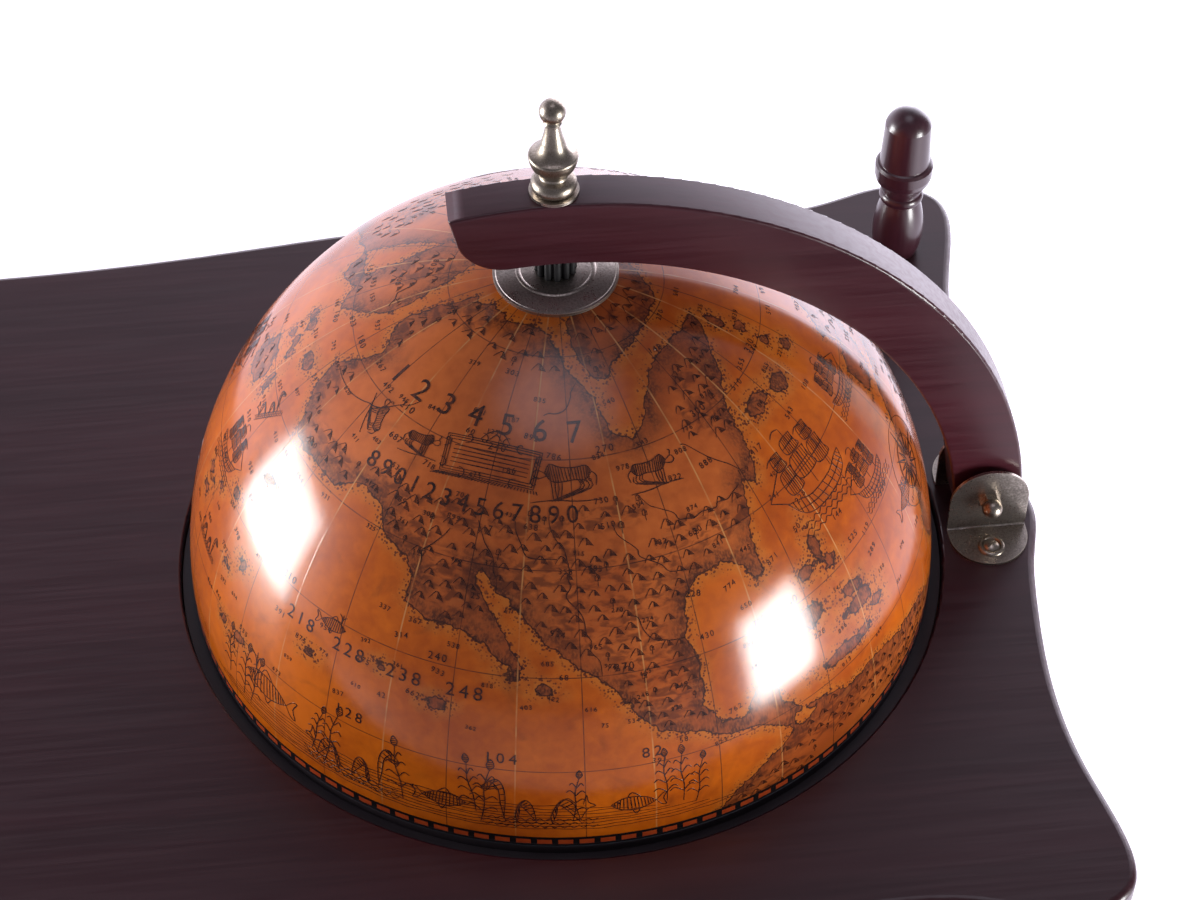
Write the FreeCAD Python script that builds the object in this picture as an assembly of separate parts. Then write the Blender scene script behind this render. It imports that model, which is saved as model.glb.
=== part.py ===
import FreeCAD, Part
import math
import os

os.makedirs("parts", exist_ok=True)

V = FreeCAD.Vector
UP = V(0, 0, 1)
ALONG_Y = V(0, 1, 0)

# The object is a globe bar: a hinged and spinning half globe over a bowl let into a side table.
# Frame: origin on the floor under the middle of the table top, +X towards the lid's hinge, +Y to the back.

# Fits
glue_gap = 0.1          # between curved faces glued to each other
seat_gap = 0.3          # between faces that rest on each other and move apart
shaft_gap = 0.05        # radial, shaft in its bore
hole_gap = 0.2          # radial, screw or stud in its clearance hole

# Globe
globe_r = 200.0
shell_wall = 4.0
rim_below_centre = 3.0
bowl_inset = 2.0        # the bowl's outside, in from the globe's
table_hole_gap = 7.0    # radial, globe in the table's hole
rim_ring_gap = 0.7      # radial, rim ring in the table's hole
rim_ring_width = 17.0
rim_ring_step_inset = 0.4
rim_ring_step_drop = 6.0

# Table
table_length = 900.0
table_beside_globe = 66.0
table_past_globe = 62.0
table_height = 620.0
table_thick = 18.0
table_edge_round = 4.0
support_ring_thick = 12.0
support_ring_width = 37.5
support_ring_seat = 6.5     # radial, how far the rim ring and bowl bear on the support ring

# Legs, shelf and posts
leg_inset_end = 38.5
leg_inset_side = 56.0
leg_r = 21.0
leg_neck_r = 12.0
shelf_height = 180.0
shelf_thick = 16.0
shelf_inset = 14.0
stud_r = 4.0
stud_in_leg = 34.0
stud_in_top = 12.0
post_height = 107.0
post_stud_in = 26.0

# Castors
castor_wheel_gap = 3.1      # above the wheel, to the swivel's rivet
castor_wheel_r = 24.0
castor_wheel_width = 18.0
castor_tyre_round = 4.0
castor_tread = 7.0          # solid tread, out from the hollow in the wheel's side
castor_hollow = 3.0
castor_trail = 14.0
castor_plate_r = 15.0
castor_plate_thick = 4.5
castor_stem_r = 5.0
castor_stem_length = 36.0
castor_pivot_r = 4.0
castor_pivot_head_r = 6.5
castor_pivot_head_thick = 2.4
castor_fork_thick = 3.4
castor_fork_neck = 20.0
castor_cheek_thick = 2.0
castor_cheek_gap = 0.5
castor_boss_r = 7.0
castor_axle_r = 3.0
castor_axle_head_r = 4.6
castor_axle_head_thick = 1.6

# Arm
arm_globe_gap = 13.5
arm_width = 38.0
arm_thick = 23.0
arm_overhang_deg = 11.8
arm_corner_r = 24.0
arm_edge_round = 1.6
pivot_height = 20.0
pivot_pin_r = 4.0
pivot_bush_wall = 2.0

# Hinge ears
ear_width = 43.0
ear_thick = 1.6
ear_side_gap = 4.0
ear_foot_length = 27.0
ear_bend_r = 1.0
cap_nut_r = 5.5
cap_nut_flats = 10.0
cap_nut_hex = 3.6
cap_nut_bore_r = 2.7
foot_screw_from_tip = 12.0
foot_screw_r = 2.2
foot_screw_length = 14.0
foot_screw_head_r = 4.0
foot_screw_head_thick = 2.2
cup_washer_r = 7.4
cup_washer_thick = 1.6

# Pole fittings
pole_disc_r = 31.0
pole_disc_thick = 1.5
pole_disc_ridge_r = 18.6
pole_disc_ridge = 0.4
pole_disc_lip = 0.3
pole_rod_r = 5.0
pole_bush_r = 8.0
pole_bush_shank_r = 7.0
spline_count = 12
spline_r = 1.7
spline_circle_r = 8.7
pole_block_r = 34.0
pole_block_thick = 14.0
pole_block_crown = 3.0      # the domed block's edge, lower than its middle
thrust_washer_r = 14.0
thrust_washer_thick = 1.6
lock_nut_flats = 17.0
lock_nut_thick = 8.0
rod_past_nut = 3.0
rod_in_finial = 18.0
finial_washer_r = 12.1
finial_washer_thick = 1.6

# Rack inside the bowl
rack_depth = 60.0
rack_thick = 9.0
rack_edge_gap = 0.6
bottle_r = 41.0
bottle_circle_inset = 118.0     # circles of holes, in from the globe's radius
bottle_count = 3
glass_r = 29.0
glass_circle_inset = 58.0
glass_spread_deg = 24.0
cleat_count = 4
cleat_width = 26.0
cleat_height = 16.0
cleat_depth = 14.0
floor_depth = 144.0
floor_thick = 6.0

# Places worked out from the sizes above
table_depth = 2 * (globe_r + table_beside_globe)
globe_x = table_length / 2 - globe_r - table_past_globe
globe_z = table_height + rim_below_centre
table_hole_r = globe_r + table_hole_gap
table_under = table_height - table_thick
leg_x = table_length / 2 - leg_inset_end
leg_y = table_depth / 2 - leg_inset_side
leg_places = [(leg_x, leg_y), (leg_x, -leg_y), (-leg_x, leg_y), (-leg_x, -leg_y)]
post_places = [(leg_x, leg_y), (-leg_x, leg_y)]
castor_fork_drop = castor_plate_thick + castor_fork_thick + castor_pivot_head_thick + 2 * seat_gap
castor_height = 2 * castor_wheel_r + castor_wheel_gap + castor_fork_drop
arm_inner_r = globe_r + arm_globe_gap
arm_outer_r = arm_inner_r + arm_width
arm_mid_r = arm_inner_r + arm_width / 2
pivot_x = math.sqrt(arm_mid_r ** 2 - pivot_height ** 2)
pivot_bush_r = pivot_pin_r + shaft_gap + pivot_bush_wall
ear_inner_y = arm_thick / 2 + ear_side_gap
ear_outer_y = ear_inner_y + ear_thick
shell_inner_r = globe_r - shell_wall
bowl_r = globe_r - bowl_inset
bowl_inner_r = bowl_r - shell_wall
rim_ring_r = table_hole_r - rim_ring_gap
rim_ring_step_r = globe_r - rim_ring_step_inset
ring_seat = -rim_below_centre - table_thick
support_ring_inner_r = table_hole_r - support_ring_seat
bottle_circle_r = globe_r - bottle_circle_inset
glass_circle_r = globe_r - glass_circle_inset
pole_block_low = shell_inner_r - pole_block_crown - pole_block_thick
nut_face = pole_block_low - seat_gap - thrust_washer_thick


def sphere_z(radius, across):
    """Height on a sphere at a distance from its vertical axis."""
    return math.sqrt(radius ** 2 - across ** 2)


def at_globe(shape):
    """Moves a shape made about the globe's centre to its place in the object."""
    shape.translate(V(globe_x, 0, globe_z))
    return shape


def rod(radius, low, high, x=0.0, y=0.0):
    return Part.makeCylinder(radius, high - low, V(x, y, low), UP)


def tube(inner, outer, low, high, x=0.0, y=0.0):
    return rod(outer, low, high, x, y).cut(rod(inner, low - 1, high + 1, x, y))


def cross_rod(radius, front, back, x, z):
    return Part.makeCylinder(radius, back - front, V(x, front, z), ALONG_Y)


def dome_arc(radius, height, top):
    """Middle and end of the arc of a spherical dome from a rim up, or down, to a point on the axis."""
    centre = (radius ** 2 + height ** 2 - top ** 2) / (2 * (height - top))
    ball = abs(top - centre)
    turn = (math.atan2(height - centre, radius) + math.copysign(math.pi / 2, top - centre)) / 2
    return (ball * math.cos(turn), centre + ball * math.sin(turn)), (0, top)


def turned(start, steps):
    """A solid turned about Z. A step is (radius, height), (middle, end) of an arc, or ("dome", height)."""
    edges = []
    here = start
    for step in steps:
        if step[0] == "dome":
            step = dome_arc(here[0], here[1], step[1])
        if isinstance(step[0], tuple):
            middle, end = step
            points = [V(r, 0, z) for r, z in (here, middle, end)]
            edges.append(Part.Arc(*points).toShape())
        else:
            end = step
            edges.append(Part.LineSegment(V(here[0], 0, here[1]), V(end[0], 0, end[1])).toShape())
        here = end
    edges.append(Part.LineSegment(V(here[0], 0, here[1]), V(start[0], 0, start[1])).toShape())
    face = Part.Face(Part.Wire(edges))
    return face.revolve(V(0, 0, 0), UP, 360)


def hexagon(flats, low, high):
    """A hexagonal prism about the Z axis."""
    corner = flats / math.sqrt(3)
    turns = [math.radians(60 * i) for i in range(7)]
    points = [V(corner * math.cos(turn), corner * math.sin(turn), low) for turn in turns]
    return Part.Face(Part.makePolygon(points)).extrude(V(0, 0, high - low))


def moved(shape, x, y, z):
    copy = shape.copy()
    copy.translate(V(x, y, z))
    return copy


def save(shape, name):
    shape.exportStep("parts/" + name + ".step")


# ---------------------------------------------------------------- table

def end_curve():
    """Half of an end's outline from its middle to its corner: (in from the end, out from the middle)."""
    half = table_depth / 2
    return [(0.5, 0), (6.7, 36), (12.6, 70), (16.7, half - 148), (11.5, half - 87), (2.0, half - 46),
            (0.6, half - 30), (3.8, half - 16), (17.5, half - 4.0), (leg_inset_end - 1.5, half)]


def side_curve():
    """Back outline between the corners: (along X, in from the depth). It bellies out beside the globe."""
    right = leg_x
    left = -leg_x
    return [(right - 19, 4.6), (right - 43, 12.0), (right - 88, 15.6), (right - 150, 10.4),
            (globe_x, 3.0), (globe_x - 108, 7.2), (globe_x - 224, 18.6), (globe_x - 330, 22.6),
            (left + 110, 19.0), (left + 43, 11.6), (left + 19, 4.6)]


def outline(inset):
    """The serpentine outline, smaller all round by the inset."""
    half_long = table_length / 2
    half_deep = table_depth / 2
    right_end = [(half_long - i, o) for i, o in end_curve()]
    side = [(x, half_deep - i) for x, i in side_curve()]
    left_end = [(i - half_long, o) for i, o in reversed(end_curve())]
    back = right_end + side + left_end
    front = [(x, -y) for x, y in reversed(back[1:-1])]
    shrink_x = 1 - inset / half_long
    shrink_y = 1 - inset / half_deep
    points = [V(x * shrink_x, y * shrink_y, 0) for x, y in back + front]
    curve = Part.BSplineCurve()
    curve.interpolate(Points=points, PeriodicFlag=True)
    return Part.Wire([curve.toShape()])


def board(inset, low, thick, edge_round):
    """A board of the table's outline with its two long edges rounded over."""
    slab = Part.Face(outline(inset)).extrude(V(0, 0, thick))
    rims = [e for e in slab.Edges if e.BoundBox.ZLength < 0.1]
    slab = slab.makeFillet(edge_round, rims)
    slab.translate(V(0, 0, low))
    return slab


def foot_screw_places():
    y = ear_outer_y + ear_foot_length - foot_screw_from_tip
    return [(globe_x + pivot_x, -y), (globe_x + pivot_x, y)]


def table_top():
    slab = board(0, table_under, table_thick, table_edge_round)
    slab = slab.cut(rod(table_hole_r, table_under - 1, table_height + 1, globe_x))
    lip = [e for e in slab.Edges if len(e.Vertexes) == 1 and abs(e.BoundBox.XLength - 2 * table_hole_r) < 0.1]
    slab = slab.makeFillet(1.5, [e for e in lip if e.BoundBox.ZMax > table_height - 0.1])
    for x, y in leg_places:
        top = table_height + 1 if y > 0 else table_under + stud_in_top + 1
        slab = slab.cut(rod(stud_r + hole_gap, table_under - 1, top, x, y))
    for x, y in foot_screw_places():
        depth = foot_screw_length + 0.5
        slab = slab.cut(rod(foot_screw_r + hole_gap, table_height - depth, table_height + 1, x, y))
    return slab


def support_ring():
    low = ring_seat - support_ring_thick
    outer = support_ring_inner_r + support_ring_width
    return at_globe(tube(support_ring_inner_r, outer, low, ring_seat))


def rim_ring():
    top = -rim_below_centre - seat_gap
    step = top - rim_ring_step_drop
    inner = rim_ring_r - rim_ring_width
    ring = tube(inner, rim_ring_r, ring_seat, step)
    lip = tube(inner, rim_ring_step_r, step, top)
    return at_globe(ring.fuse(lip).removeSplitter())


# ---------------------------------------------------------------- bowl and rack

def shell(outer, low, high):
    """A zone of a hollow sphere between two heights."""
    ball = Part.makeSphere(outer).cut(Part.makeSphere(outer - shell_wall))
    zone = Part.makeBox(3 * outer, 3 * outer, high - low, V(-1.5 * outer, -1.5 * outer, low))
    return ball.common(zone)


def lower_bowl():
    return at_globe(shell(bowl_r, -bowl_r - 1, ring_seat))


def rack_holes():
    """Bottle and glass places in the rack: (x, y, radius)."""
    places = [(0.0, 0.0, glass_r)]
    for i in range(bottle_count):
        turn = math.radians(90 + i * 360 / bottle_count)
        places.append((bottle_circle_r * math.cos(turn), bottle_circle_r * math.sin(turn), bottle_r))
        for side in (-1, 1):
            mid = turn + math.pi / bottle_count + side * math.radians(glass_spread_deg)
            places.append((glass_circle_r * math.cos(mid), glass_circle_r * math.sin(mid), glass_r))
    return places


def rack_disc():
    low = -rack_depth - rack_thick
    radius = sphere_z(bowl_inner_r, -low) - rack_edge_gap
    disc = rod(radius, low, -rack_depth)
    for x, y, hole in rack_holes():
        disc = disc.cut(rod(hole, low - 1, -rack_depth + 1, x, y))
    rims = [e for e in disc.Edges if len(e.Vertexes) == 1]
    return at_globe(disc.makeFillet(1.2, rims))


def rack_cleats():
    top = -rack_depth - rack_thick
    reach = sphere_z(bowl_inner_r, -top)
    inside = Part.makeSphere(bowl_inner_r - glue_gap)
    blocks = []
    for i in range(cleat_count):
        block = Part.makeBox(cleat_depth + 20, cleat_width, cleat_height,
                             V(reach - cleat_depth - 8, -cleat_width / 2, top - cleat_height))
        block.rotate(V(0, 0, 0), UP, 45 + i * 360 / cleat_count)
        blocks.append(block.common(inside))
    return at_globe(Part.makeCompound(blocks))


def bottle_floor():
    low = -floor_depth - floor_thick
    return at_globe(rod(sphere_z(bowl_inner_r, -low) - rack_edge_gap, low, -floor_depth))


# ---------------------------------------------------------------- lid

def lid_shell():
    cap = shell(globe_r, -rim_below_centre, globe_r + 1)
    hole = rod(pole_bush_shank_r + hole_gap, 100, globe_r + 1)
    return at_globe(cap.cut(hole))


def lid_pole_block():
    block = rod(pole_block_r, pole_block_low, shell_inner_r + 1)
    block = block.common(Part.makeSphere(shell_inner_r - glue_gap))
    return at_globe(block.cut(rod(pole_bush_shank_r + hole_gap, pole_block_low - 1, shell_inner_r + 1)))


def spline_ring(grow, low, high):
    """The fluted section that the bush and the disc's hole share, grown by a clearance."""
    core = rod(pole_bush_r + grow, low, high)
    for i in range(spline_count):
        turn = math.radians(i * 360 / spline_count)
        x = spline_circle_r * math.cos(turn)
        y = spline_circle_r * math.sin(turn)
        core = core.fuse(rod(spline_r + grow, low, high, x, y))
    return core.removeSplitter()


def pole_disc():
    under = globe_r + glue_gap
    top = under + pole_disc_thick
    ridge_in = pole_disc_ridge_r - 1.3
    ridge_out = pole_disc_ridge_r + 1.3
    rim = pole_disc_r - 1.2
    field = (ridge_out + rim) / 2
    middle = ((pole_disc_ridge_r, sphere_z(top, pole_disc_ridge_r) + pole_disc_ridge),
              (ridge_out, sphere_z(top, ridge_out)))
    plate = turned((0, under), [
        ((pole_disc_r / 2, sphere_z(under, pole_disc_r / 2)), (pole_disc_r, sphere_z(under, pole_disc_r))),
        (pole_disc_r, sphere_z(top, pole_disc_r) + pole_disc_lip),
        (rim, sphere_z(top, rim) + pole_disc_lip),
        (rim - 0.5, sphere_z(top, rim - 0.5)),
        ((field, sphere_z(top, field)), (ridge_out, sphere_z(top, ridge_out))),
        (middle[0], (ridge_in, sphere_z(top, ridge_in))),
        ((ridge_in / 2, sphere_z(top, ridge_in / 2)), (0, top)),
    ])
    return at_globe(plate.cut(spline_ring(hole_gap, under - 5, top + 5)))


def pole_bush():
    seat = globe_r + glue_gap
    top = sphere_z(arm_inner_r, pole_bush_r + spline_r) - seat_gap
    head = spline_ring(0, seat, top)
    shank = rod(pole_bush_shank_r, pole_block_low, seat)
    bore = rod(pole_rod_r + shaft_gap, pole_block_low - 1, top + 1)
    return at_globe(head.fuse(shank).removeSplitter().cut(bore))


# ---------------------------------------------------------------- arm and pole fittings

def arm_sector(angle_low, angle_high):
    """The ring's part between two angles above the horizontal, as a flat board across Y."""
    def point(radius, angle):
        return V(radius * math.cos(angle), 0, radius * math.sin(angle))
    angles = [angle_low, (angle_low + angle_high) / 2, angle_high]
    outer = Part.Arc(*[point(arm_outer_r, angle) for angle in angles])
    inner = Part.Arc(*[point(arm_inner_r, angle) for angle in reversed(angles)])
    foot_centre = point(arm_mid_r, angle_low)
    below = foot_centre + V(math.sin(angle_low), 0, -math.cos(angle_low)) * (arm_width / 2)
    foot = Part.Arc(point(arm_inner_r, angle_low), below, point(arm_outer_r, angle_low))
    cut = Part.LineSegment(point(arm_outer_r, angle_high), point(arm_inner_r, angle_high))
    wire = Part.Wire([outer.toShape(), cut.toShape(), inner.toShape(), foot.toShape()])
    board_shape = Part.Face(wire).extrude(V(0, arm_thick, 0))
    board_shape.translate(V(0, -arm_thick / 2, 0))
    return board_shape


def meridian_arm():
    low = math.asin(pivot_height / arm_mid_r)
    high = math.radians(90 + arm_overhang_deg)
    arm = arm_sector(low, high)
    tip = V(arm_inner_r * math.cos(high), 0, arm_inner_r * math.sin(high))
    across = [e for e in arm.Edges if e.BoundBox.YLength > arm_thick - 1]
    arm = arm.makeFillet(arm_corner_r, [e for e in across if (e.CenterOfMass - tip).Length < 0.5])
    faces = [f for f in arm.Faces if abs(f.normalAt(0, 0).y) > 0.99 and f.BoundBox.YLength < 0.01]
    arm = arm.makeFillet(arm_edge_round, [e for f in faces for e in f.Edges])
    arm = arm.cut(cross_rod(pivot_bush_r + glue_gap, -arm_thick, arm_thick, pivot_x, pivot_height))
    return at_globe(arm.cut(rod(pole_rod_r + hole_gap, arm_inner_r - 5, arm_outer_r + 5)))


def arm_bush():
    half = arm_thick / 2 + ear_side_gap - seat_gap
    outer = cross_rod(pivot_bush_r, -half, half, pivot_x, pivot_height)
    return at_globe(outer.cut(cross_rod(pivot_pin_r + shaft_gap, -half - 1, half + 1, pivot_x, pivot_height)))


def pole_rod():
    low = nut_face - lock_nut_thick - rod_past_nut
    return at_globe(rod(pole_rod_r, low, arm_outer_r + finial_washer_thick + rod_in_finial))


def thrust_washer():
    return at_globe(tube(pole_rod_r + shaft_gap, thrust_washer_r, nut_face, nut_face + thrust_washer_thick))


def lock_nut():
    low = nut_face - lock_nut_thick
    nut = hexagon(lock_nut_flats, low, nut_face)
    return at_globe(nut.cut(rod(pole_rod_r + shaft_gap, low - 1, nut_face + 1)))


def finial_washer():
    top = arm_outer_r + finial_washer_thick
    return at_globe(tube(pole_rod_r + hole_gap, finial_washer_r, arm_outer_r, top))


def finial():
    """A turned brass knob: base bead, waist, cup with a flared roof, thin neck and ball."""
    knob = turned((0, 0), [
        (9.3, 0), ((11.1, 3.8), (9.4, 7.2)), (7.1, 8.4), ((6.8, 9.8), (7.7, 11.3)),
        ((10.6, 15.2), (11.9, 20.0)), ((12.0, 21.0), (11.5, 21.9)), ((7.5, 25.0), (5.6, 29.6)),
        ((4.4, 34.0), (3.6, 38.8)), (3.6, 40.2), (4.6, 40.9), (3.9, 42.2), ("dome", 53.5),
    ])
    knob = knob.cut(rod(pole_rod_r + shaft_gap, -1, rod_in_finial + 0.5))
    return at_globe(moved(knob, 0, 0, arm_outer_r + finial_washer_thick))


# ---------------------------------------------------------------- hinge

def bent_strip(top, run_end):
    """The L section of an ear: up beside the arm and out along the table, with a rounded bend."""
    floor = -rim_below_centre
    outer = ear_thick + ear_bend_r
    centre = V(0, ear_inner_y + outer, floor + outer)
    slant = math.sqrt(0.5)
    points = [V(0, ear_inner_y, top), V(0, ear_inner_y, floor + outer), V(0, ear_inner_y + outer, floor),
              V(0, run_end, floor), V(0, run_end, floor + ear_thick),
              V(0, ear_inner_y + outer, floor + ear_thick), V(0, ear_outer_y, floor + outer),
              V(0, ear_outer_y, top)]
    bends = {1: outer, 5: ear_bend_r}
    edges = []
    for i, start in enumerate(points):
        end = points[(i + 1) % len(points)]
        if i in bends:
            middle = centre - V(0, slant, slant) * bends[i]
            edges.append(Part.Arc(start, middle, end).toShape())
        else:
            edges.append(Part.LineSegment(start, end).toShape())
    strip = Part.Face(Part.Wire(edges)).extrude(V(ear_width, 0, 0))
    strip.translate(V(-ear_width / 2, 0, 0))
    return strip


def hinge_ear(side):
    """An L of brass plate: a round-topped ear beside the arm's foot, bent out to a round-ended foot."""
    floor = -rim_below_centre
    half = ear_width / 2
    run_end = ear_outer_y + ear_foot_length - half
    plate = bent_strip(pivot_height, run_end)
    crown = cross_rod(half, ear_inner_y, ear_outer_y, 0, pivot_height)
    above = Part.makeBox(3 * half, 3 * ear_outer_y, half + 1, V(-1.5 * half, 0, pivot_height))
    toe = rod(half, floor, floor + ear_thick, 0, run_end)
    outward = Part.makeBox(3 * half, half + 1, 3 * ear_thick, V(-1.5 * half, run_end, floor - ear_thick))
    plate = plate.fuse([crown.common(above), toe.common(outward)]).removeSplitter()
    bore = cross_rod(pivot_pin_r + glue_gap, 0, 2 * ear_outer_y, 0, pivot_height)
    screw_y = ear_outer_y + ear_foot_length - foot_screw_from_tip
    plate = plate.cut(bore).cut(rod(foot_screw_r + hole_gap, floor - 1, floor + 2 * ear_thick, 0, screw_y))
    if side < 0:
        plate = plate.mirror(V(0, 0, 0), ALONG_Y)
    return at_globe(moved(plate, pivot_x, 0, 0))


def pivot_pin():
    shank = cross_rod(pivot_pin_r, -ear_outer_y, ear_outer_y, pivot_x, pivot_height)
    reach = ear_outer_y + cap_nut_hex + 2
    return at_globe(shank.fuse(cross_rod(cap_nut_bore_r - glue_gap, -reach, reach, pivot_x, pivot_height)))


def pin_cap_nuts():
    """Two domed nuts, one on each end of the pivot pin: a thin hexagon under a ball."""
    nut = hexagon(cap_nut_flats, 0, cap_nut_hex)
    nut = nut.fuse(Part.makeSphere(cap_nut_r, V(0, 0, cap_nut_hex + cap_nut_r / 2))).removeSplitter()
    nut = nut.cut(rod(cap_nut_bore_r, -1, cap_nut_hex + cap_nut_bore_r))
    nuts = []
    for side in (-1, 1):
        one = nut.copy()
        one.rotate(V(0, 0, 0), V(1, 0, 0), -90 * side)
        nuts.append(moved(one, pivot_x, side * ear_outer_y, pivot_height))
    return at_globe(Part.makeCompound(nuts))


def foot_cup_washers():
    """Two pressed cup washers under the heads of the foot screws."""
    low = table_height + ear_thick
    mouth = foot_screw_head_r + 0.5
    cup = turned((foot_screw_r + hole_gap, 0), [
        (cup_washer_r, 0), ((cup_washer_r - 0.4, 1.1), (cup_washer_r - 1.6, cup_washer_thick)),
        (mouth + 0.8, cup_washer_thick), (mouth, 0.5), (foot_screw_r + hole_gap, 0.5),
    ])
    return Part.makeCompound([moved(cup, x, y, low) for x, y in foot_screw_places()])


def foot_screws():
    """Two slotted oval-head screws that hold the ears' feet to the table."""
    seat = table_height + ear_thick + 0.5
    head = turned((0, 0), [
        (foot_screw_head_r, 0), (foot_screw_head_r, 0.7), ("dome", foot_screw_head_thick),
    ])
    slot = Part.makeBox(3 * foot_screw_head_r, 1.0, 1.0, V(-1.5 * foot_screw_head_r, -0.5, 1.3))
    slot.rotate(V(0, 0, 0), UP, 35)
    screw = head.cut(slot).fuse(rod(foot_screw_r, -foot_screw_length + ear_thick, 0))
    return Part.makeCompound([moved(screw, x, y, seat) for x, y in foot_screw_places()])


# ---------------------------------------------------------------- legs, posts and shelf

def leg_upper():
    """Turned leg between shelf and table: blocks at both ends, a long vase and beads between them."""
    low = shelf_height
    length = table_under - shelf_height
    mid = length / 2
    leg = turned((0, 0), [
        (leg_r - 2, 0), ((leg_r, 5), (leg_r - 2, 10)), (leg_neck_r + 2, 14), (leg_neck_r + 2, 20),
        ((leg_r - 3, 27), (leg_neck_r + 2, 34)), (leg_neck_r, 37),
        ((leg_neck_r + 1.5, mid * 0.55), (leg_r - 4, mid - 34)),
        ((leg_r - 1.5, mid - 18), (leg_neck_r + 3, mid - 8)),
        ((leg_r - 1, mid), (leg_neck_r + 3, mid + 8)), ((leg_r - 1.5, mid + 18), (leg_r - 4, mid + 34)),
        ((leg_neck_r + 1.5, length - mid * 0.55), (leg_neck_r, length - 37)),
        (leg_neck_r + 2, length - 34), ((leg_r - 3, length - 27), (leg_neck_r + 2, length - 20)),
        (leg_neck_r + 2, length - 14), (leg_r - 2, length - 10), ((leg_r, length - 5), (leg_r - 2, length)),
        (0, length),
    ])
    leg = leg.cut(rod(stud_r + hole_gap, -1, stud_in_leg + 1))
    leg = leg.cut(rod(stud_r + hole_gap, length - stud_in_leg - 1, length + 1))
    return moved(leg, 0, 0, low)


def leg_foot():
    """Short turned foot between castor and shelf."""
    length = shelf_height - shelf_thick - castor_height
    foot = turned((0, 0), [
        (leg_r - 6, 0), ((leg_r - 3, 4), (leg_r - 6, 8)), (leg_neck_r + 1, 12),
        ((leg_r + 1, length * 0.45), (leg_neck_r + 3, length - 26)), (leg_neck_r + 3, length - 20),
        (leg_r - 3, length - 16), (leg_r - 2, length - 12), (leg_r - 2, length), (0, length),
    ])
    foot = foot.cut(rod(stud_r + hole_gap, length - stud_in_leg - 1, length + 1))
    foot = foot.cut(rod(castor_stem_r + hole_gap, -1, castor_stem_length + 1))
    return moved(foot, 0, 0, castor_height)


def corner_post():
    """Turned post on a back corner: bulb, neck with a bead, flared cup with a collar, domed cylinder."""
    post = turned((0, 0), [
        (12.8, 0), ((15.0, 21), (12.2, 37)), (11.3, 40), ((13.0, 43.5), (11.5, 46.5)),
        ((13.2, 51.5), (16.2, 57)), (17.0, 60.5), (17.0, 67.0), (15.8, 68.6), (14.7, 69.2),
        (13.4, post_height - 10), ("dome", post_height),
    ])
    post = post.cut(rod(stud_r + hole_gap, -1, post_stud_in + 1))
    return moved(post, 0, 0, table_height)


def lower_shelf():
    slab = board(shelf_inset, shelf_height - shelf_thick, shelf_thick, table_edge_round)
    for x, y in leg_places:
        slab = slab.cut(rod(stud_r + hole_gap, shelf_height - shelf_thick - 1, shelf_height + 1, x, y))
    return slab


def top_studs():
    """Threaded studs from the legs into the table top; the back two go on up into the posts."""
    studs = []
    for x, y in leg_places:
        top = table_height + post_stud_in if y > 0 else table_under + stud_in_top
        studs.append(rod(stud_r, table_under - stud_in_leg, top, x, y))
    return Part.makeCompound(studs)


def shelf_studs():
    """Threaded studs that draw each foot and leg together through the shelf."""
    low = shelf_height - shelf_thick - stud_in_leg
    return Part.makeCompound([rod(stud_r, low, shelf_height + stud_in_leg, x, y) for x, y in leg_places])


# ---------------------------------------------------------------- castors

def castor_stem():
    """Pressed-in stem with its bearing plate and the riveted pivot that carries the fork."""
    plate_low = castor_height - castor_plate_thick
    stem = rod(castor_plate_r, plate_low, castor_height)
    stem = stem.fuse(rod(castor_stem_r, castor_height, castor_height + castor_stem_length))
    fork_low = plate_low - seat_gap - castor_fork_thick
    stem = stem.fuse(rod(castor_pivot_r, fork_low - seat_gap, plate_low))
    head_low = fork_low - seat_gap - castor_pivot_head_thick
    return stem.fuse(rod(castor_pivot_head_r, head_low, fork_low - seat_gap)).removeSplitter()


def axle_rod(radius, front, back):
    """A cylinder on the wheel's axle, which trails behind the swivel."""
    return cross_rod(radius, front, back, -castor_trail, castor_wheel_r)


def castor_fork():
    """Swivel fork: a round plate with two cheeks that lean back to the wheel's axle."""
    top = castor_height - castor_plate_thick - seat_gap
    low = top - castor_fork_thick
    inner = castor_wheel_width / 2 + castor_cheek_gap
    fork = rod(castor_plate_r, low, top)
    fork = fork.cut(rod(castor_pivot_r + shaft_gap, low - 1, top + 1))
    neck = castor_fork_neck / 2
    profile = [(-neck, top), (neck, top), (neck, low), (castor_boss_r - castor_trail, castor_wheel_r),
               (-castor_boss_r - castor_trail, castor_wheel_r), (-neck, low), (-neck, top)]
    for y in (-inner - castor_cheek_thick, inner):
        blade = Part.makePolygon([V(x, y, z) for x, z in profile])
        cheek = Part.Face(blade).extrude(V(0, castor_cheek_thick, 0))
        fork = fork.fuse(cheek.fuse(axle_rod(castor_boss_r, y, y + castor_cheek_thick)))
    return fork.removeSplitter().cut(axle_rod(castor_axle_r + glue_gap, -castor_wheel_r, castor_wheel_r))


def castor_axle():
    inner = castor_wheel_width / 2 + castor_cheek_gap
    outer = inner + castor_cheek_thick
    axle = axle_rod(castor_axle_r, -outer, outer)
    for y in (-outer - castor_axle_head_thick, outer):
        axle = axle.fuse(axle_rod(castor_axle_head_r, y, y + castor_axle_head_thick))
    return axle.removeSplitter()


def castor_wheel():
    half = castor_wheel_width / 2
    wheel = axle_rod(castor_wheel_r, -half, half)
    wheel = wheel.makeFillet(castor_tyre_round, [e for e in wheel.Edges if len(e.Vertexes) == 1])
    for y in (-half - 1, half - castor_hollow):
        ring = axle_rod(castor_wheel_r - castor_tread, y, y + castor_hollow + 1)
        wheel = wheel.cut(ring.cut(axle_rod(castor_boss_r - 1, y - 1, y + castor_hollow + 2)))
    return wheel.cut(axle_rod(castor_axle_r + shaft_gap, -castor_wheel_r, castor_wheel_r))


# ---------------------------------------------------------------- build

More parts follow.
